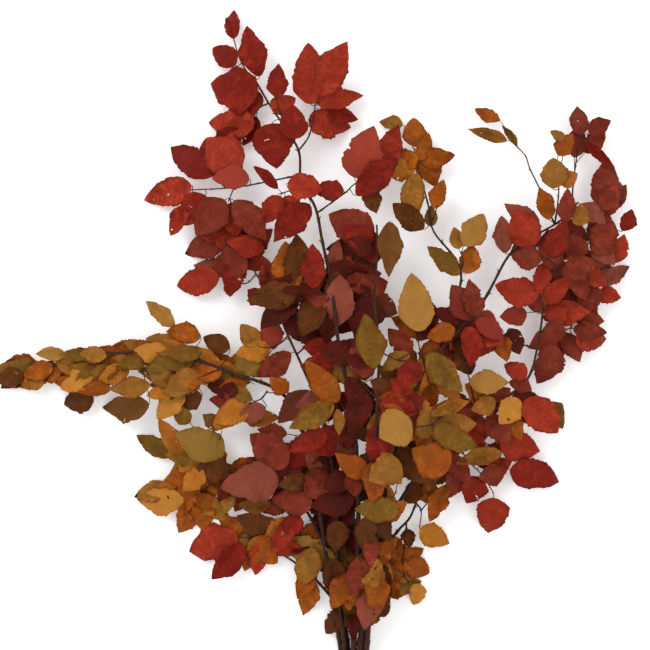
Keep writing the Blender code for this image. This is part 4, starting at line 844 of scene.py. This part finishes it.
class Piece:
    """A mesh under construction, with the shares that its materials read."""

    def __init__(self, name):
        self.name = name
        self.verts = []
        self.shares = []
        self.faces = []
        self.slots = []
        self.count = 0
        self.materials = []

    def add(self, verts, faces, material, shares=(0.0,) * len(SHARE_NAMES)):
        """shares is one row for all vertices or one row per vertex, in the order of SHARE_NAMES."""
        if material not in self.materials:
            self.materials.append(material)
        self.verts.append(np.asarray(verts, float).reshape(-1, 3))
        self.shares.append(np.broadcast_to(shares, (len(self.verts[-1]), len(SHARE_NAMES))))
        self.faces.extend(tuple(i + self.count for i in face) for face in faces)
        self.slots.extend([self.materials.index(material)] * len(faces))
        self.count += len(self.verts[-1])

    def finish(self, node, slot):
        """Makes the mesh, no lower than just above the floor, in place of a node."""
        verts = np.concatenate(self.verts)
        verts[:, 2] = np.maximum(verts[:, 2] + SHIFT.z, FLOOR_GAP) - SHIFT.z
        mesh = bpy.data.meshes.new(self.name)
        mesh.from_pydata(verts + np.array(SHIFT), [], self.faces)
        for material in self.materials:
            mesh.materials.append(material)
        mesh.polygons.foreach_set("material_index", self.slots)
        mesh.polygons.foreach_set("use_smooth", [True] * len(self.faces))
        shares = np.concatenate(self.shares)
        for column, name in enumerate(SHARE_NAMES):
            attribute = mesh.attributes.new(name, "FLOAT", "POINT")
            attribute.data.foreach_set("value", shares[:, column].astype(np.float32))
        mesh.update()
        thing = bpy.data.objects.new(self.name, mesh)
        bpy.context.scene.collection.objects.link(thing)
        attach(thing, "root")
        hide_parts(node)


def skin_faces(rows, columns, gone):
    """Faces of an upper and a lower skin over one grid, and the rims that join them."""
    flat = rows * columns
    faces = []
    edges = {}
    for row in range(rows - 1):
        for column in range(columns - 1):
            if (row, column) in gone:
                continue
            a = row * columns + column
            ring = (a, a + columns, a + columns + 1, a + 1)
            faces.append(ring)
            faces.append(tuple(i + flat for i in reversed(ring)))
            edges.update(dict.fromkeys(zip(ring, ring[1:] + ring[:1])))
    for start, end in edges:
        if (end, start) not in edges:
            faces.append((end, start, start + flat, end + flat))
    return faces


def add_blade(piece, leaf, pose, traits, material):
    """The blade: an upper and a lower skin over the same grid, joined all round."""
    points, vein_and_groove_shade, reach = leaf_grid(leaf, pose, traits)
    normals = grid_normals(points)
    rows, columns = vein_and_groove_shade.shape
    midrib = np.exp(-(np.array(ACROSS) / MIDRIB_WIDTH) ** 2)[None, :] * MIDRIB_HEIGHT
    taper = (1 - MIDRIB_TAPER * np.linspace(0, 1, rows))[:, None]
    upper = points + normals * (LEAF_THICKNESS / 2)
    lower = points - normals * (LEAF_THICKNESS / 2 + midrib * taper)[..., None]
    faces = skin_faces(rows, columns, missing_faces(traits, rows - 1, columns - 1))
    flat = rows * columns
    shares = np.zeros((flat * 2, len(SHARE_NAMES)))
    shares[:, 0] = np.tile(vein_and_groove_shade.ravel(), 2)
    shares[:, 1] = np.tile(reach.ravel(), 2)
    shares[:flat, 2] = 1.0 if traits.under else 0.0
    shares[flat:, 2] = 0.0 if traits.under else 1.0
    shares[:, 3] = traits.tone
    shares[:, 4] = traits.age
    piece.add(np.concatenate((upper.reshape(-1, 3), lower.reshape(-1, 3))), faces, material, shares)


# ---- round wood ----
def curve_points(line):
    """Closely spaced points along a smooth curve through the points of a line."""
    points = [Vector(p) for p in line]
    ends = [points[0] * 2 - points[1]] + points + [points[-1] * 2 - points[-2]]
    result = []
    for i in range(1, len(ends) - 2):
        p0, p1, p2, p3 = ends[i - 1:i + 3]
        count = max(2, round((p2 - p1).length / BRANCH_STEP))
        for k in range(count):
            t = k / count
            first = p1 * 2 + (p2 - p0) * t
            second = (p0 * 2 - p1 * 5 + p2 * 4 - p3) * t * t
            third = (p1 * 3 - p0 - p2 * 3 + p3) * t ** 3
            result.append((first + second + third) / 2)
    result.append(points[-1])
    return result


def add_rod(piece, line, radii, sides, material, cap_material=None):
    """A closed rod along points, with its own radius at each point and its own look at the cut."""
    rings = []
    side = None
    for index, point in enumerate(line):
        before = line[max(index - 1, 0)]
        after = line[min(index + 1, len(line) - 1)]
        ahead = (after - before).normalized()
        if side is None:
            side = ahead.orthogonal().normalized()
        side = (side - ahead * side.dot(ahead)).normalized()
        other = ahead.cross(side)
        for k in range(sides):
            turn = 2 * math.pi * k / sides
            rings.append(point + (side * math.cos(turn) + other * math.sin(turn)) * radii[index])
    faces = []
    for ring in range(len(line) - 1):
        for k in range(sides):
            a = ring * sides + k
            b = ring * sides + (k + 1) % sides
            faces.append((a, b, b + sides, a + sides))
    last = (len(line) - 1) * sides
    faces.append(tuple(range(last, last + sides)))
    if cap_material is None:
        faces.append(tuple(reversed(range(sides))))
    piece.add(rings, faces, material)
    if cap_material is not None:
        start = rings[:sides]
        middle = sum(start, Vector()) / sides
        fan = [(sides, (k + 1) % sides, k) for k in range(sides)]
        piece.add(start + [middle], fan, cap_material)


def add_bud(piece, foot, ahead, length):
    """A long pointed bud."""
    line = [foot + ahead * (length * along) for along, width in BUD_SHAPE]
    radii = [length * BUD_GIRTH * width for along, width in BUD_SHAPE]
    add_rod(piece, line, radii, BUD_SIDES, BARK)


def side_way(ahead, order, lift):
    """The way that a side bud leans out, to the left and the right of a branch in turn."""
    return Vector((-ahead.y, ahead.x, lift)) * (1 if order % 2 else -1)


def knobby(line, start_radius, end_radius, seed, every):
    """Radii along a branch: an even taper with swollen joints and a slight unevenness."""
    draw = np.random.default_rng(seed)
    total = line_length(line)
    places = np.arange(every * 0.5, total, every)
    places = places + draw.uniform(-JOINT_WANDER, JOINT_WANDER, len(places)) * every
    radii = []
    done = 0.0
    for index, point in enumerate(line):
        if index:
            done += (point - line[index - 1]).length
        share = done / total
        radius = start_radius + (end_radius - start_radius) * share
        swell = min(sum(math.exp(-((done - place) / JOINT_REACH) ** 2) for place in places), 1.0)
        radii.append(radius * (1 + JOINT_SWELL * swell + draw.uniform(-BARK_WANDER, BARK_WANDER)))
    return radii, places


# ---- materials ----
def linear(red, green, blue):
    """A colour given as on a screen, 0 to 255, as light."""
    result = []
    for value in (red, green, blue):
        value /= 255
        result.append(value / 12.92 if value <= 0.04045 else ((value + 0.055) / 1.055) ** 2.4)
    return (*result, 1.0)


class Nodes:
    """A material's node tree, with short calls for the nodes used here."""

    def __init__(self, name, roughness, specular):
        self.material = bpy.data.materials.new(name)
        self.material.use_nodes = True
        self.tree = self.material.node_tree
        self.shader = self.tree.nodes["Principled BSDF"]
        self.shader.inputs["Roughness"].default_value = roughness
        self.shader.inputs["Specular IOR Level"].default_value = specular
        self.colour = None

    def put(self, kind, **settings):
        """A new node with its settings."""
        node = self.tree.nodes.new(kind)
        for key, value in settings.items():
            setattr(node, key, value)
        return node

    def join(self, output, socket):
        """A link from an output to an input."""
        self.tree.links.new(output, socket)

    def share(self, name):
        """One of the shares that each point of a piece carries."""
        return self.put("ShaderNodeAttribute", attribute_name=name).outputs["Fac"]

    def noise(self, scale, detail, stretch=(1.0, 1.0, 1.0)):
        """Noise in the object's own space, with scale waves to a metre."""
        coordinates = self.put("ShaderNodeTexCoord").outputs["Object"]
        mapping = self.put("ShaderNodeMapping")
        mapping.inputs["Scale"].default_value = stretch
        self.join(coordinates, mapping.inputs["Vector"])
        noise = self.put("ShaderNodeTexNoise")
        noise.inputs["Scale"].default_value = scale
        noise.inputs["Detail"].default_value = detail
        noise.inputs["Roughness"].default_value = 0.6
        self.join(mapping.outputs["Vector"], noise.inputs["Vector"])
        return noise.outputs["Fac"]

    def span(self, value, low, high, to_low=0.0, to_high=1.0):
        """value from low..high onto to_low..to_high, held inside it."""
        node = self.put("ShaderNodeMapRange", clamp=True)
        self.join(value, node.inputs["Value"])
        node.inputs["From Min"].default_value = low
        node.inputs["From Max"].default_value = high
        node.inputs["To Min"].default_value = to_low
        node.inputs["To Max"].default_value = to_high
        return node.outputs["Result"]

    def patches(self, scale, detail, low, high, most=1.0):
        """Uneven patches: none where the noise is below low, and most where it is above high."""
        return self.span(self.noise(scale, detail), low, high, 0.0, most)

    def feed(self, value, socket):
        """A link or a plain value into an input."""
        if isinstance(value, bpy.types.NodeSocket):
            self.join(value, socket)
        else:
            socket.default_value = value

    def times(self, a, b):
        """The product of two values."""
        node = self.put("ShaderNodeMath", operation="MULTIPLY")
        self.feed(a, node.inputs[0])
        self.feed(b, node.inputs[1])
        return node.outputs["Value"]

    def mix(self, factor, first, second):
        """A blend of two colours."""
        node = self.put("ShaderNodeMix", data_type="RGBA")
        self.feed(factor, node.inputs[0])
        self.feed(first, node.inputs[6])
        self.feed(second, node.inputs[7])
        return node.outputs[2]

    def paint(self, factor, colour):
        """A colour laid over what is there, as far as the factor says."""
        self.colour = self.mix(factor, self.colour, linear(*colour))

    def finish(self, height, distance, strength):
        """Joins the colour and a bump to the shader, and gives the material."""
        self.join(self.colour, self.shader.inputs["Base Color"])
        node = self.put("ShaderNodeBump")
        node.inputs["Distance"].default_value = distance
        node.inputs["Strength"].default_value = strength
        self.join(height, node.inputs["Height"])
        self.join(node.outputs["Normal"], self.shader.inputs["Normal"])
        return self.material


def leaf_material(name, dark, light, blotch, vein_and_groove_shade, edge, under, heart):
    """A dried leaf: colour drifts from leaf to leaf and within each, with veins and the midrib darker, partly
    their own colour and partly painted shade of the grooves that they lie in, and worn margins.
    """
    nodes = Nodes(name, 0.62, 0.10)
    nodes.colour = nodes.mix(nodes.share("tone"), linear(*dark), linear(*light))
    middle = nodes.span(nodes.share("margin"), 0.20, 0.85, 0.90, 0.0)
    nodes.paint(nodes.times(middle, nodes.patches(24.0, 3.0, 0.42, 0.56)), heart)
    age = nodes.span(nodes.share("age"), 0.0, 1.0, 0.45, 1.0)
    nodes.paint(nodes.times(nodes.patches(38.0, 5.0, 0.45, 0.60, 0.95), age), blotch)
    nodes.paint(nodes.patches(70.0, 4.0, 0.50, 0.66, 0.55), light)
    nodes.paint(nodes.patches(120.0, 6.0, 0.38, 0.62, 0.85), dark)
    # Veins and midrib darker: partly their own colour, partly painted shade of the grooves that they lie in.
    nodes.paint(nodes.times(nodes.share("vein_and_groove_shade"), 0.55), vein_and_groove_shade)
    worn = nodes.span(nodes.share("margin"), 0.70, 1.0)
    nodes.paint(nodes.times(worn, nodes.patches(60.0, 3.0, 0.40, 0.60, 0.9)), edge)
    nodes.paint(nodes.times(nodes.share("underside"), 0.50), under)
    nodes.paint(nodes.patches(520.0, 2.0, 0.66, 0.74, 0.55), edge)
    return nodes.finish(nodes.noise(110.0, 6.0), 0.0042, 0.75)


def bark_material():
    """Dark brown bark with long grain, pale pores and a reddish film."""
    nodes = Nodes("bark", 0.70, 0.18)
    grain = nodes.noise(260.0, 5.0, (1.0, 0.22, 1.0))
    nodes.colour = nodes.mix(nodes.span(grain, 0.30, 0.70), linear(30, 16, 11), linear(72, 42, 29))
    nodes.paint(nodes.patches(480.0, 2.0, 0.62, 0.70, 0.8), (104, 78, 58))
    nodes.paint(nodes.patches(40.0, 3.0, 0.45, 0.65, 0.5), (66, 28, 20))
    return nodes.finish(grain, 0.0005, 0.8)


def cut_material():
    """Pale wood at the cut ends."""
    nodes = Nodes("cut_wood", 0.80, 0.5)
    grain = nodes.noise(900.0, 3.0)
    pale = nodes.span(grain, 0.35, 0.65)
    nodes.colour = nodes.mix(pale, linear(150, 112, 74), linear(206, 172, 128))
    return nodes.finish(grain, 0.0003, 0.5)


def floor_material():
    """Pale paper with a faint glow, so that it stays nearly white."""
    nodes = Nodes("floor_paper", 0.90, 0.1)
    nodes.shader.inputs["Base Color"].default_value = (0.95, 0.95, 0.95, 1.0)
    nodes.shader.inputs["Emission Color"].default_value = (1.0, 1.0, 1.0, 1.0)
    nodes.shader.inputs["Emission Strength"].default_value = FLOOR_GLOW
    return nodes.material


# Each leaf letter's material name, then its darker, lighter, blotch, colour of the veins with painted shade
# of their grooves, edge, underside and middle colours.
LEAF_COLOURS = {
    "R": ("leaf_red", (139, 37, 19), (181, 61, 35), (115, 30, 16), (118, 33, 17), (98, 37, 16),
          (156, 66, 50), (157, 53, 29)),
    "D": ("leaf_deep_red", (115, 22, 11), (163, 43, 23), (94, 22, 11), (91, 20, 11), (78, 28, 13),
          (140, 54, 42), (128, 33, 17)),
    "M": ("leaf_rose_brown", (113, 37, 22), (150, 59, 37), (87, 29, 18), (94, 33, 19), (81, 35, 16),
          (146, 80, 62), (126, 55, 33)),
    "B": ("leaf_maroon", (70, 14, 7), (105, 27, 13), (55, 18, 7), (55, 14, 7), (50, 22, 7),
          (111, 57, 31), (78, 24, 10)),
    "G": ("leaf_gold", (168, 97, 25), (207, 131, 42), (146, 74, 18), (144, 83, 25), (124, 60, 15),
          (192, 134, 56), (155, 113, 39)),
    "O": ("leaf_orange_brown", (140, 65, 9), (181, 94, 18), (111, 47, 7), (116, 57, 10), (92, 39, 7),
          (170, 106, 40), (135, 82, 19)),
    "T": ("leaf_tan", (137, 84, 27), (174, 114, 43), (113, 65, 18), (118, 73, 27), (102, 53, 13),
          (177, 131, 62), (126, 98, 37)),
    "V": ("leaf_olive", (111, 73, 19), (146, 102, 31), (98, 55, 12), (98, 65, 19), (92, 47, 9),
          (155, 116, 50), (102, 84, 28)),
    "N": ("leaf_dark_brown", (83, 39, 9), (116, 59, 15), (61, 29, 7), (65, 33, 9), (52, 24, 6),
          (124, 82, 33), (87, 53, 16)),
}
MATERIALS = {letter: leaf_material(*looks) for letter, looks in LEAF_COLOURS.items()}
BARK = bark_material()
CUT = cut_material()


# ---- shoots ----
def stalk_root(lines, leaf):
    """Where on the twigs a leaf's stalk springs."""
    best = None
    for line in lines:
        gap, _, index, share = nearest_on_line(line, leaf[0], leaf[1])
        before = sum((line[i + 1] - line[i]).length for i in range(index))
        distance = before + (line[index + 1] - line[index]).length * share
        if best is None or gap < best[0] - TIE:
            best = (gap, line, distance)
    gap, line, distance = best
    return along_line(line, max(distance - max(STALK_LENGTH - gap, 0.0), NEAREST_STALK))


def free_pose(leaf, root, number):
    """A natural pose for a leaf that the solid leaves out, unlike its neighbours' poses."""
    length = math.hypot(leaf[2] - leaf[0], leaf[3] - leaf[1])
    rise_turn, slope_turn, tilt_turn = FREE_TURNS
    height = max(root.z + FREE_RISE * math.sin(number * rise_turn), LOWEST_FREE_LEAF)
    slope = FREE_SLOPE * math.sin(number * slope_turn) - FREE_DROOP
    slope = max(slope, (LOWEST_FREE_LEAF - height) / length)
    return height, slope, FREE_TILT * math.sin(number * tilt_turn + 1.0)


def add_stalk(piece, root, leaf, pose):
    """The leaf stalk, in a bow from the twig to the base of the blade."""
    base = Vector((leaf[0], leaf[1], pose[0]))
    forward = Vector((leaf[2] - leaf[0], leaf[3] - leaf[1], 0.0)).normalized()
    corner = base - forward * min((base - root).length * STALK_CORNER, STALK_BEND)
    line = []
    for step in range(STALK_STEPS + 1):
        share = step / STALK_STEPS
        line.append(root.lerp(corner, share).lerp(corner.lerp(base, share), share))
    line.append(base + forward * STALK_OVERLAP)
    last = len(line) - 1
    radii = [STALK_RADIUS * (STALK_FOOT - STALK_TAPER * i / last) for i in range(len(line))]
    add_rod(piece, line, radii, STALK_SIDES, BARK)


def grow_twig(piece, line, start_radius, seed):
    """A twig with a bud at its end and side buds at all its joints but the last."""
    fine = curve_points(line)
    radii, places = knobby(fine, start_radius, TWIG_TIP_RADIUS, seed, TWIG_JOINT_GAP)
    add_rod(piece, fine, radii, TWIG_SIDES, BARK)
    ahead = (fine[-1] - fine[-2]).normalized()
    add_bud(piece, fine[-1] - ahead * END_BUD_OVERLAP, ahead, END_BUD)
    length, lift, turn = TWIG_BUD
    for order, place in enumerate(places[:-1]):
        out = side_way(ahead, order, lift)
        add_bud(piece, along_line(fine, place), (ahead + out * turn).normalized(), length)


def grow_shoot(name, stem_line, lines, leaves, number):
    """A shoot: its piece, its wood, and how many of its leaves were found in the solid."""
    points = unique_points(name) - np.array(SHIFT)
    twigs = read_twigs(points, stem_line, lines)
    piece = Piece(name + "_grown")
    for order, line in enumerate(twigs):
        grow_twig(piece, line, TWIG_RADIUS * (SIDE_TWIG_SHARE if order else 1.0), number + order)
    found = 0
    for order, leaf in enumerate(leaves):
        root = stalk_root(twigs, leaf)
        pose = read_pose(points, leaf)
        found += pose is not None
        if pose is None:
            pose = free_pose(leaf, root, number + order)
        add_stalk(piece, root, leaf, pose)
        add_blade(piece, leaf, pose, Traits(number + order), MATERIALS[leaf[5]])
    return piece, [(piece, line) for line in twigs], found


def grow_stem(name, start_radius, end_radius, line, seed):
    """A stem with swollen joints, side buds and a clean cut, and its wood."""
    piece = Piece(name + "_bark")
    fine = curve_points(line)
    radii, places = knobby(fine, start_radius, end_radius, seed, STEM_JOINT_GAP)
    add_rod(piece, fine, radii, STEM_SIDES, BARK, CUT)
    whole = line_length(fine)
    length, lift, turn = STEM_BUD
    for order, place in enumerate(places[:-1]):
        foot = along_line(fine, place)
        ahead = (along_line(fine, place + HEADING_STEP) - foot).normalized()
        out = side_way(ahead, order, lift)
        radius = start_radius + (end_radius - start_radius) * place / whole
        foot = foot + out * radius * STEM_BUD_DEPTH
        add_bud(piece, foot, (ahead + out * turn).normalized(), length)
    return piece, [(piece, [Vector(p) for p in line])]


# ---- fill leaves: the crowded parts of the bunch, where the solids leave leaves out ----
# Zone: middle x and y, reach along x and y, number of leaves, their colours, longest leaf, and
# the heading of the leaves in degrees where they all lie one way.
FILL_ZONES = (
    (.028, .077, .055, .085, 20, "BMBNDM", .076, None),
    (.056, -.063, .055, .070, 18, "BNMVDB", .076, None),
    (.042, -.231, .055, .070, 18, "NBOMNB", .070, None),
    (-.050, -.165, .060, .045, 12, "MMBRM", .070, None),
    (.056, -.305, .055, .045, 14, "OVNOT", .062, None),
    (-.112, -.020, .060, .035, 18, "TOGVT", .056, 175),
    (-.245, -.034, .085, .024, 24, "TOVTG", .052, 178),
    (-.365, -.026, .062, .012, 14, "TNVO", .046, 182),
    (-.172, -.095, .055, .035, 12, "GOTV", .056, 200),
    (-.112, -.189, .055, .030, 10, "OTGO", .060, None),
    (-.042, -.262, .045, .030, 8, "OVR", .056, None),
    (.140, -.060, .055, .055, 18, "TGOVN", .066, None),
    (.120, -.150, .050, .045, 14, "GTON", .062, None),
    (.106, -.290, .025, .030, 5, "OVT", .050, None),
    (.182, .025, .050, .045, 14, "DMOBM", .062, None),
    (.266, -.075, .045, .035, 8, "ODMG", .056, None),
    (.345, .115, .055, .060, 16, "MDRM", .062, None),
    (.232, .045, .030, .030, 6, "DOR", .056, None),
    (.140, .231, .022, .050, 4, "GTO", .052, None),
    (-.126, .175, .050, .045, 10, "RDR", .060, None),
    (-.110, .275, .040, .020, 3, "DRD", .056, None),
    (.063, .130, .035, .035, 8, "NMDB", .060, None),
    (-.085, .365, .025, .025, 2, "D", .050, None),
    (.235, -.135, .045, .030, 6, "DRM", .056, None),
    (.020, .350, .030, .020, 2, "RD", .056, None),
    (.390, .190, .020, .050, 5, "MD", .056, None),
    (.415, .250, .012, .040, 3, "DM", .050, 80),
    (.370, .055, .030, .025, 5, "RM", .050, None),
)
# Zones whose leaves lie on top of the stems, each with the lowest height of the wood that bears them.
TOP_ZONES = (
    ((.070, -.285, .030, .032, 6, "OMOT", .066, 270), .048),
    ((.060, -.235, .035, .030, 4, "NMB", .062, 270), .060),
)
# Places left open between the leaves: x, y and radius.
OPEN_PLACES = (
    (.010, .271, .034), (-.074, .276, .014), (.376, .241, .026), (.199, .219, .030), (.115, .229, .016),
    (-.125, .232, .014), (-.086, .227, .016), (.011, .182, .026), (.136, .149, .026), (.247, .141, .024),
    (-.179, .130, .016), (.292, .121, .018), (.180, .104, .024), (.247, .082, .024), (-.236, .044, .018),
    (-.389, .028, .030), (-.169, .048, .014), (-.115, .040, .018), (-.313, .030, .020),
    (.136, .033, .010), (.248, -.011, .018), (-.015, -.030, .012), (.349, -.049, .028),
    (-.370, -.078, .022), (-.411, -.062, .014),
    (-.100, -.117, .016), (-.216, -.153, .016), (.129, -.179, .012), (.270, -.193, .012), (.139, -.225, .014),
    (.183, -.288, .018), (-.042, -.308, .018), (.012, -.338, .014), (.300, -.010, .016), (-.135, .205, .012),
)


def nearest_wood(wood, x, y, lowest):
    """The piece and the point of the wood that lie nearest in plan and no lower than a height."""
    best = None
    for piece, line in wood:
        gap, point = nearest_on_line(line, x, y)[:2]
        if point.z >= lowest and (best is None or gap < best[0]):
            best = (gap, piece, point)
    return best[1:]


def fill_leaf(draw, spot, foot, longest, heading, colours, on_top):
    """One leaf that grows from a point of the wood towards a spot to be covered, and its pose."""
    length = draw.uniform(SHORTEST_FILL, longest)
    out = Vector((spot[0] - foot.x, spot[1] - foot.y, 0.0))
    far = out.length > CLOSE_TO_WOOD
    angle = math.atan2(out.y, out.x) if far else draw.uniform(0.0, 2 * math.pi)
    if heading is not None:
        angle = math.radians(heading)
    angle += draw.uniform(-FILL_TURN, FILL_TURN)
    ahead = Vector((math.cos(angle), math.sin(angle), 0.0))
    stalk = min(max(out.length - length / 2, SHORTEST_FILL_STALK), LONGEST_FILL_STALK)
    base = foot + ahead * stalk
    tip = base + ahead * length
    width = length * draw.uniform(*FILL_WIDTHS)
    colour = colours[draw.integers(len(colours))]
    drop = draw.uniform(*FILL_DROPS)
    slope = draw.uniform(*FILL_SLOPES)
    if on_top:
        drop = -TOP_RISE - drop * TOP_FLATNESS
        slope *= TOP_FLATNESS
    height = max(foot.z - drop, LOWEST_FILL)
    slope = max(slope, (LOWEST_FILL_TIP - height) / length)
    pose = (height, slope, draw.uniform(-FILL_TILT, FILL_TILT))
    return (base.x, base.y, tip.x, tip.y, width, colour), pose


def covers_open_place(leaf):
    """Whether a leaf would close one of the places left open."""
    base = Vector(leaf[:2])
    run = Vector(leaf[2:4]) - base
    side = Vector((-run.y, run.x)).normalized() * (leaf[4] / 2)
    for along, out in LEAF_PROBES:
        point = base + run * along + side * out
        if any(math.hypot(point.x - x, point.y - y) < radius for x, y, radius in OPEN_PLACES):
            return True
    return False


def middle_of(leaf):
    """The middle of a leaf in plan."""
    return (leaf[0] + leaf[2]) / 2, (leaf[1] + leaf[3]) / 2


def best_fill(draw, wood, centres, zone, lowest):
    """The one of a few leaves drawn in a zone that has the most room, or None if none may stay."""
    x, y, reach_x, reach_y = zone[:4]
    colours, longest, heading = zone[5:]
    best = None
    for choice in range(FILL_CHOICES):
        angle = draw.uniform(0.0, 2 * math.pi)
        share = math.sqrt(draw.uniform())
        spot = (x + reach_x * share * math.cos(angle), y + reach_y * share * math.sin(angle))
        piece, foot = nearest_wood(wood, *spot, lowest)
        leaf, pose = fill_leaf(draw, spot, foot, longest, heading, colours, lowest > 0)
        room = min(math.dist(middle_of(leaf), centre) for centre in centres)
        if not covers_open_place(leaf) and (best is None or room > best[0]):
            best = (room, piece, foot, leaf, pose)
    return best


def add_fill(wood, centres, number):
    """Leaves drawn zone by zone, each into the emptiest of a few places."""
    draw = np.random.default_rng(FILL_SEED)
    for zone, lowest in [(zone, 0.0) for zone in FILL_ZONES] + list(TOP_ZONES):
        for turn in range(zone[4]):
            best = best_fill(draw, wood, centres, zone, lowest)
            if best is None:
                continue
            piece, foot, leaf, pose = best[1:]
            centres.append(middle_of(leaf))
            add_stalk(piece, foot, leaf, pose)
            add_blade(piece, leaf, pose, Traits(number), MATERIALS[leaf[5]])
            number += 1
    return number


# ---- set ----
def add_lamp(name, place, size, power):
    """A round soft lamp aimed at the origin."""
    light = bpy.data.lights.new(name, "AREA")
    light.shape = "DISK"
    light.size = size
    light.energy = power
    lamp = bpy.data.objects.new(name, light)
    lamp.location = place
    lamp.rotation_euler = (-Vector(place)).to_track_quat("-Z", "Y").to_euler()
    bpy.context.scene.collection.objects.link(lamp)


def build_set():
    """A plain pale floor, even light from all round, and two soft lamps."""
    mesh = bpy.data.meshes.new("floor")
    signs = ((-1, -1), (1, -1), (1, 1), (-1, 1))
    mesh.from_pydata([(x * FLOOR_REACH, y * FLOOR_REACH, 0) for x, y in signs], [], [(0, 1, 2, 3)])
    mesh.materials.append(floor_material())
    floor = bpy.data.objects.new("floor", mesh)
    bpy.context.scene.collection.objects.link(floor)
    world = bpy.data.worlds.new("studio")
    world.use_nodes = True
    background = world.node_tree.nodes["Background"]
    background.inputs["Color"].default_value = (1.0, 1.0, 1.0, 1.0)
    background.inputs["Strength"].default_value = WORLD_LIGHT
    bpy.context.scene.world = world
    for lamp in LAMPS:
        add_lamp(*lamp)


def add_camera():
    """The camera looks straight down on the bunch, with the cut ends towards the viewer."""
    data = bpy.data.cameras.new("camera")
    data.lens = LENS_MM
    data.sensor_width = SENSOR_MM
    camera = bpy.data.objects.new("camera", data)
    distance = VIEW_WIDTH * LENS_MM / SENSOR_MM
    camera.location = Vector(VIEW_MIDDLE) + SHIFT + Vector((0.0, 0.0, distance))
    bpy.context.scene.collection.objects.link(camera)
    bpy.context.scene.camera = camera


def main():
    """Grows the stems, the shoots and the fill leaves, and sets up the floor, light and camera."""
    grown = []
    wood = []
    for index, (name, start_radius, end_radius, line) in enumerate(STEMS):
        piece, lines = grow_stem(name, start_radius, end_radius, line, STEM_SEED + index)
        grown.append((piece, name, "bark"))
        wood += lines
    stem_lines = {stem[0]: stem[3] for stem in STEMS}
    centres = []
    number = 0
    found = 0
    for name, stem_name, lines, leaves in SHOOTS:
        piece, lines, count = grow_shoot(name, stem_lines[stem_name], lines, leaves, number)
        grown.append((piece, name, LEAF_COLOURS[leaves[0][5]][0]))
        wood += lines
        found += count
        number += len(leaves)
        centres += [middle_of(leaf) for leaf in leaves]
    last = add_fill(wood, centres, number)
    print("listed leaves", number, "in the solids", found, "all leaves", last)
    for piece, node, slot in grown:
        piece.finish(node, slot)
    build_set()
    add_camera()
    bpy.context.scene.view_settings.view_transform = "Standard"


main()
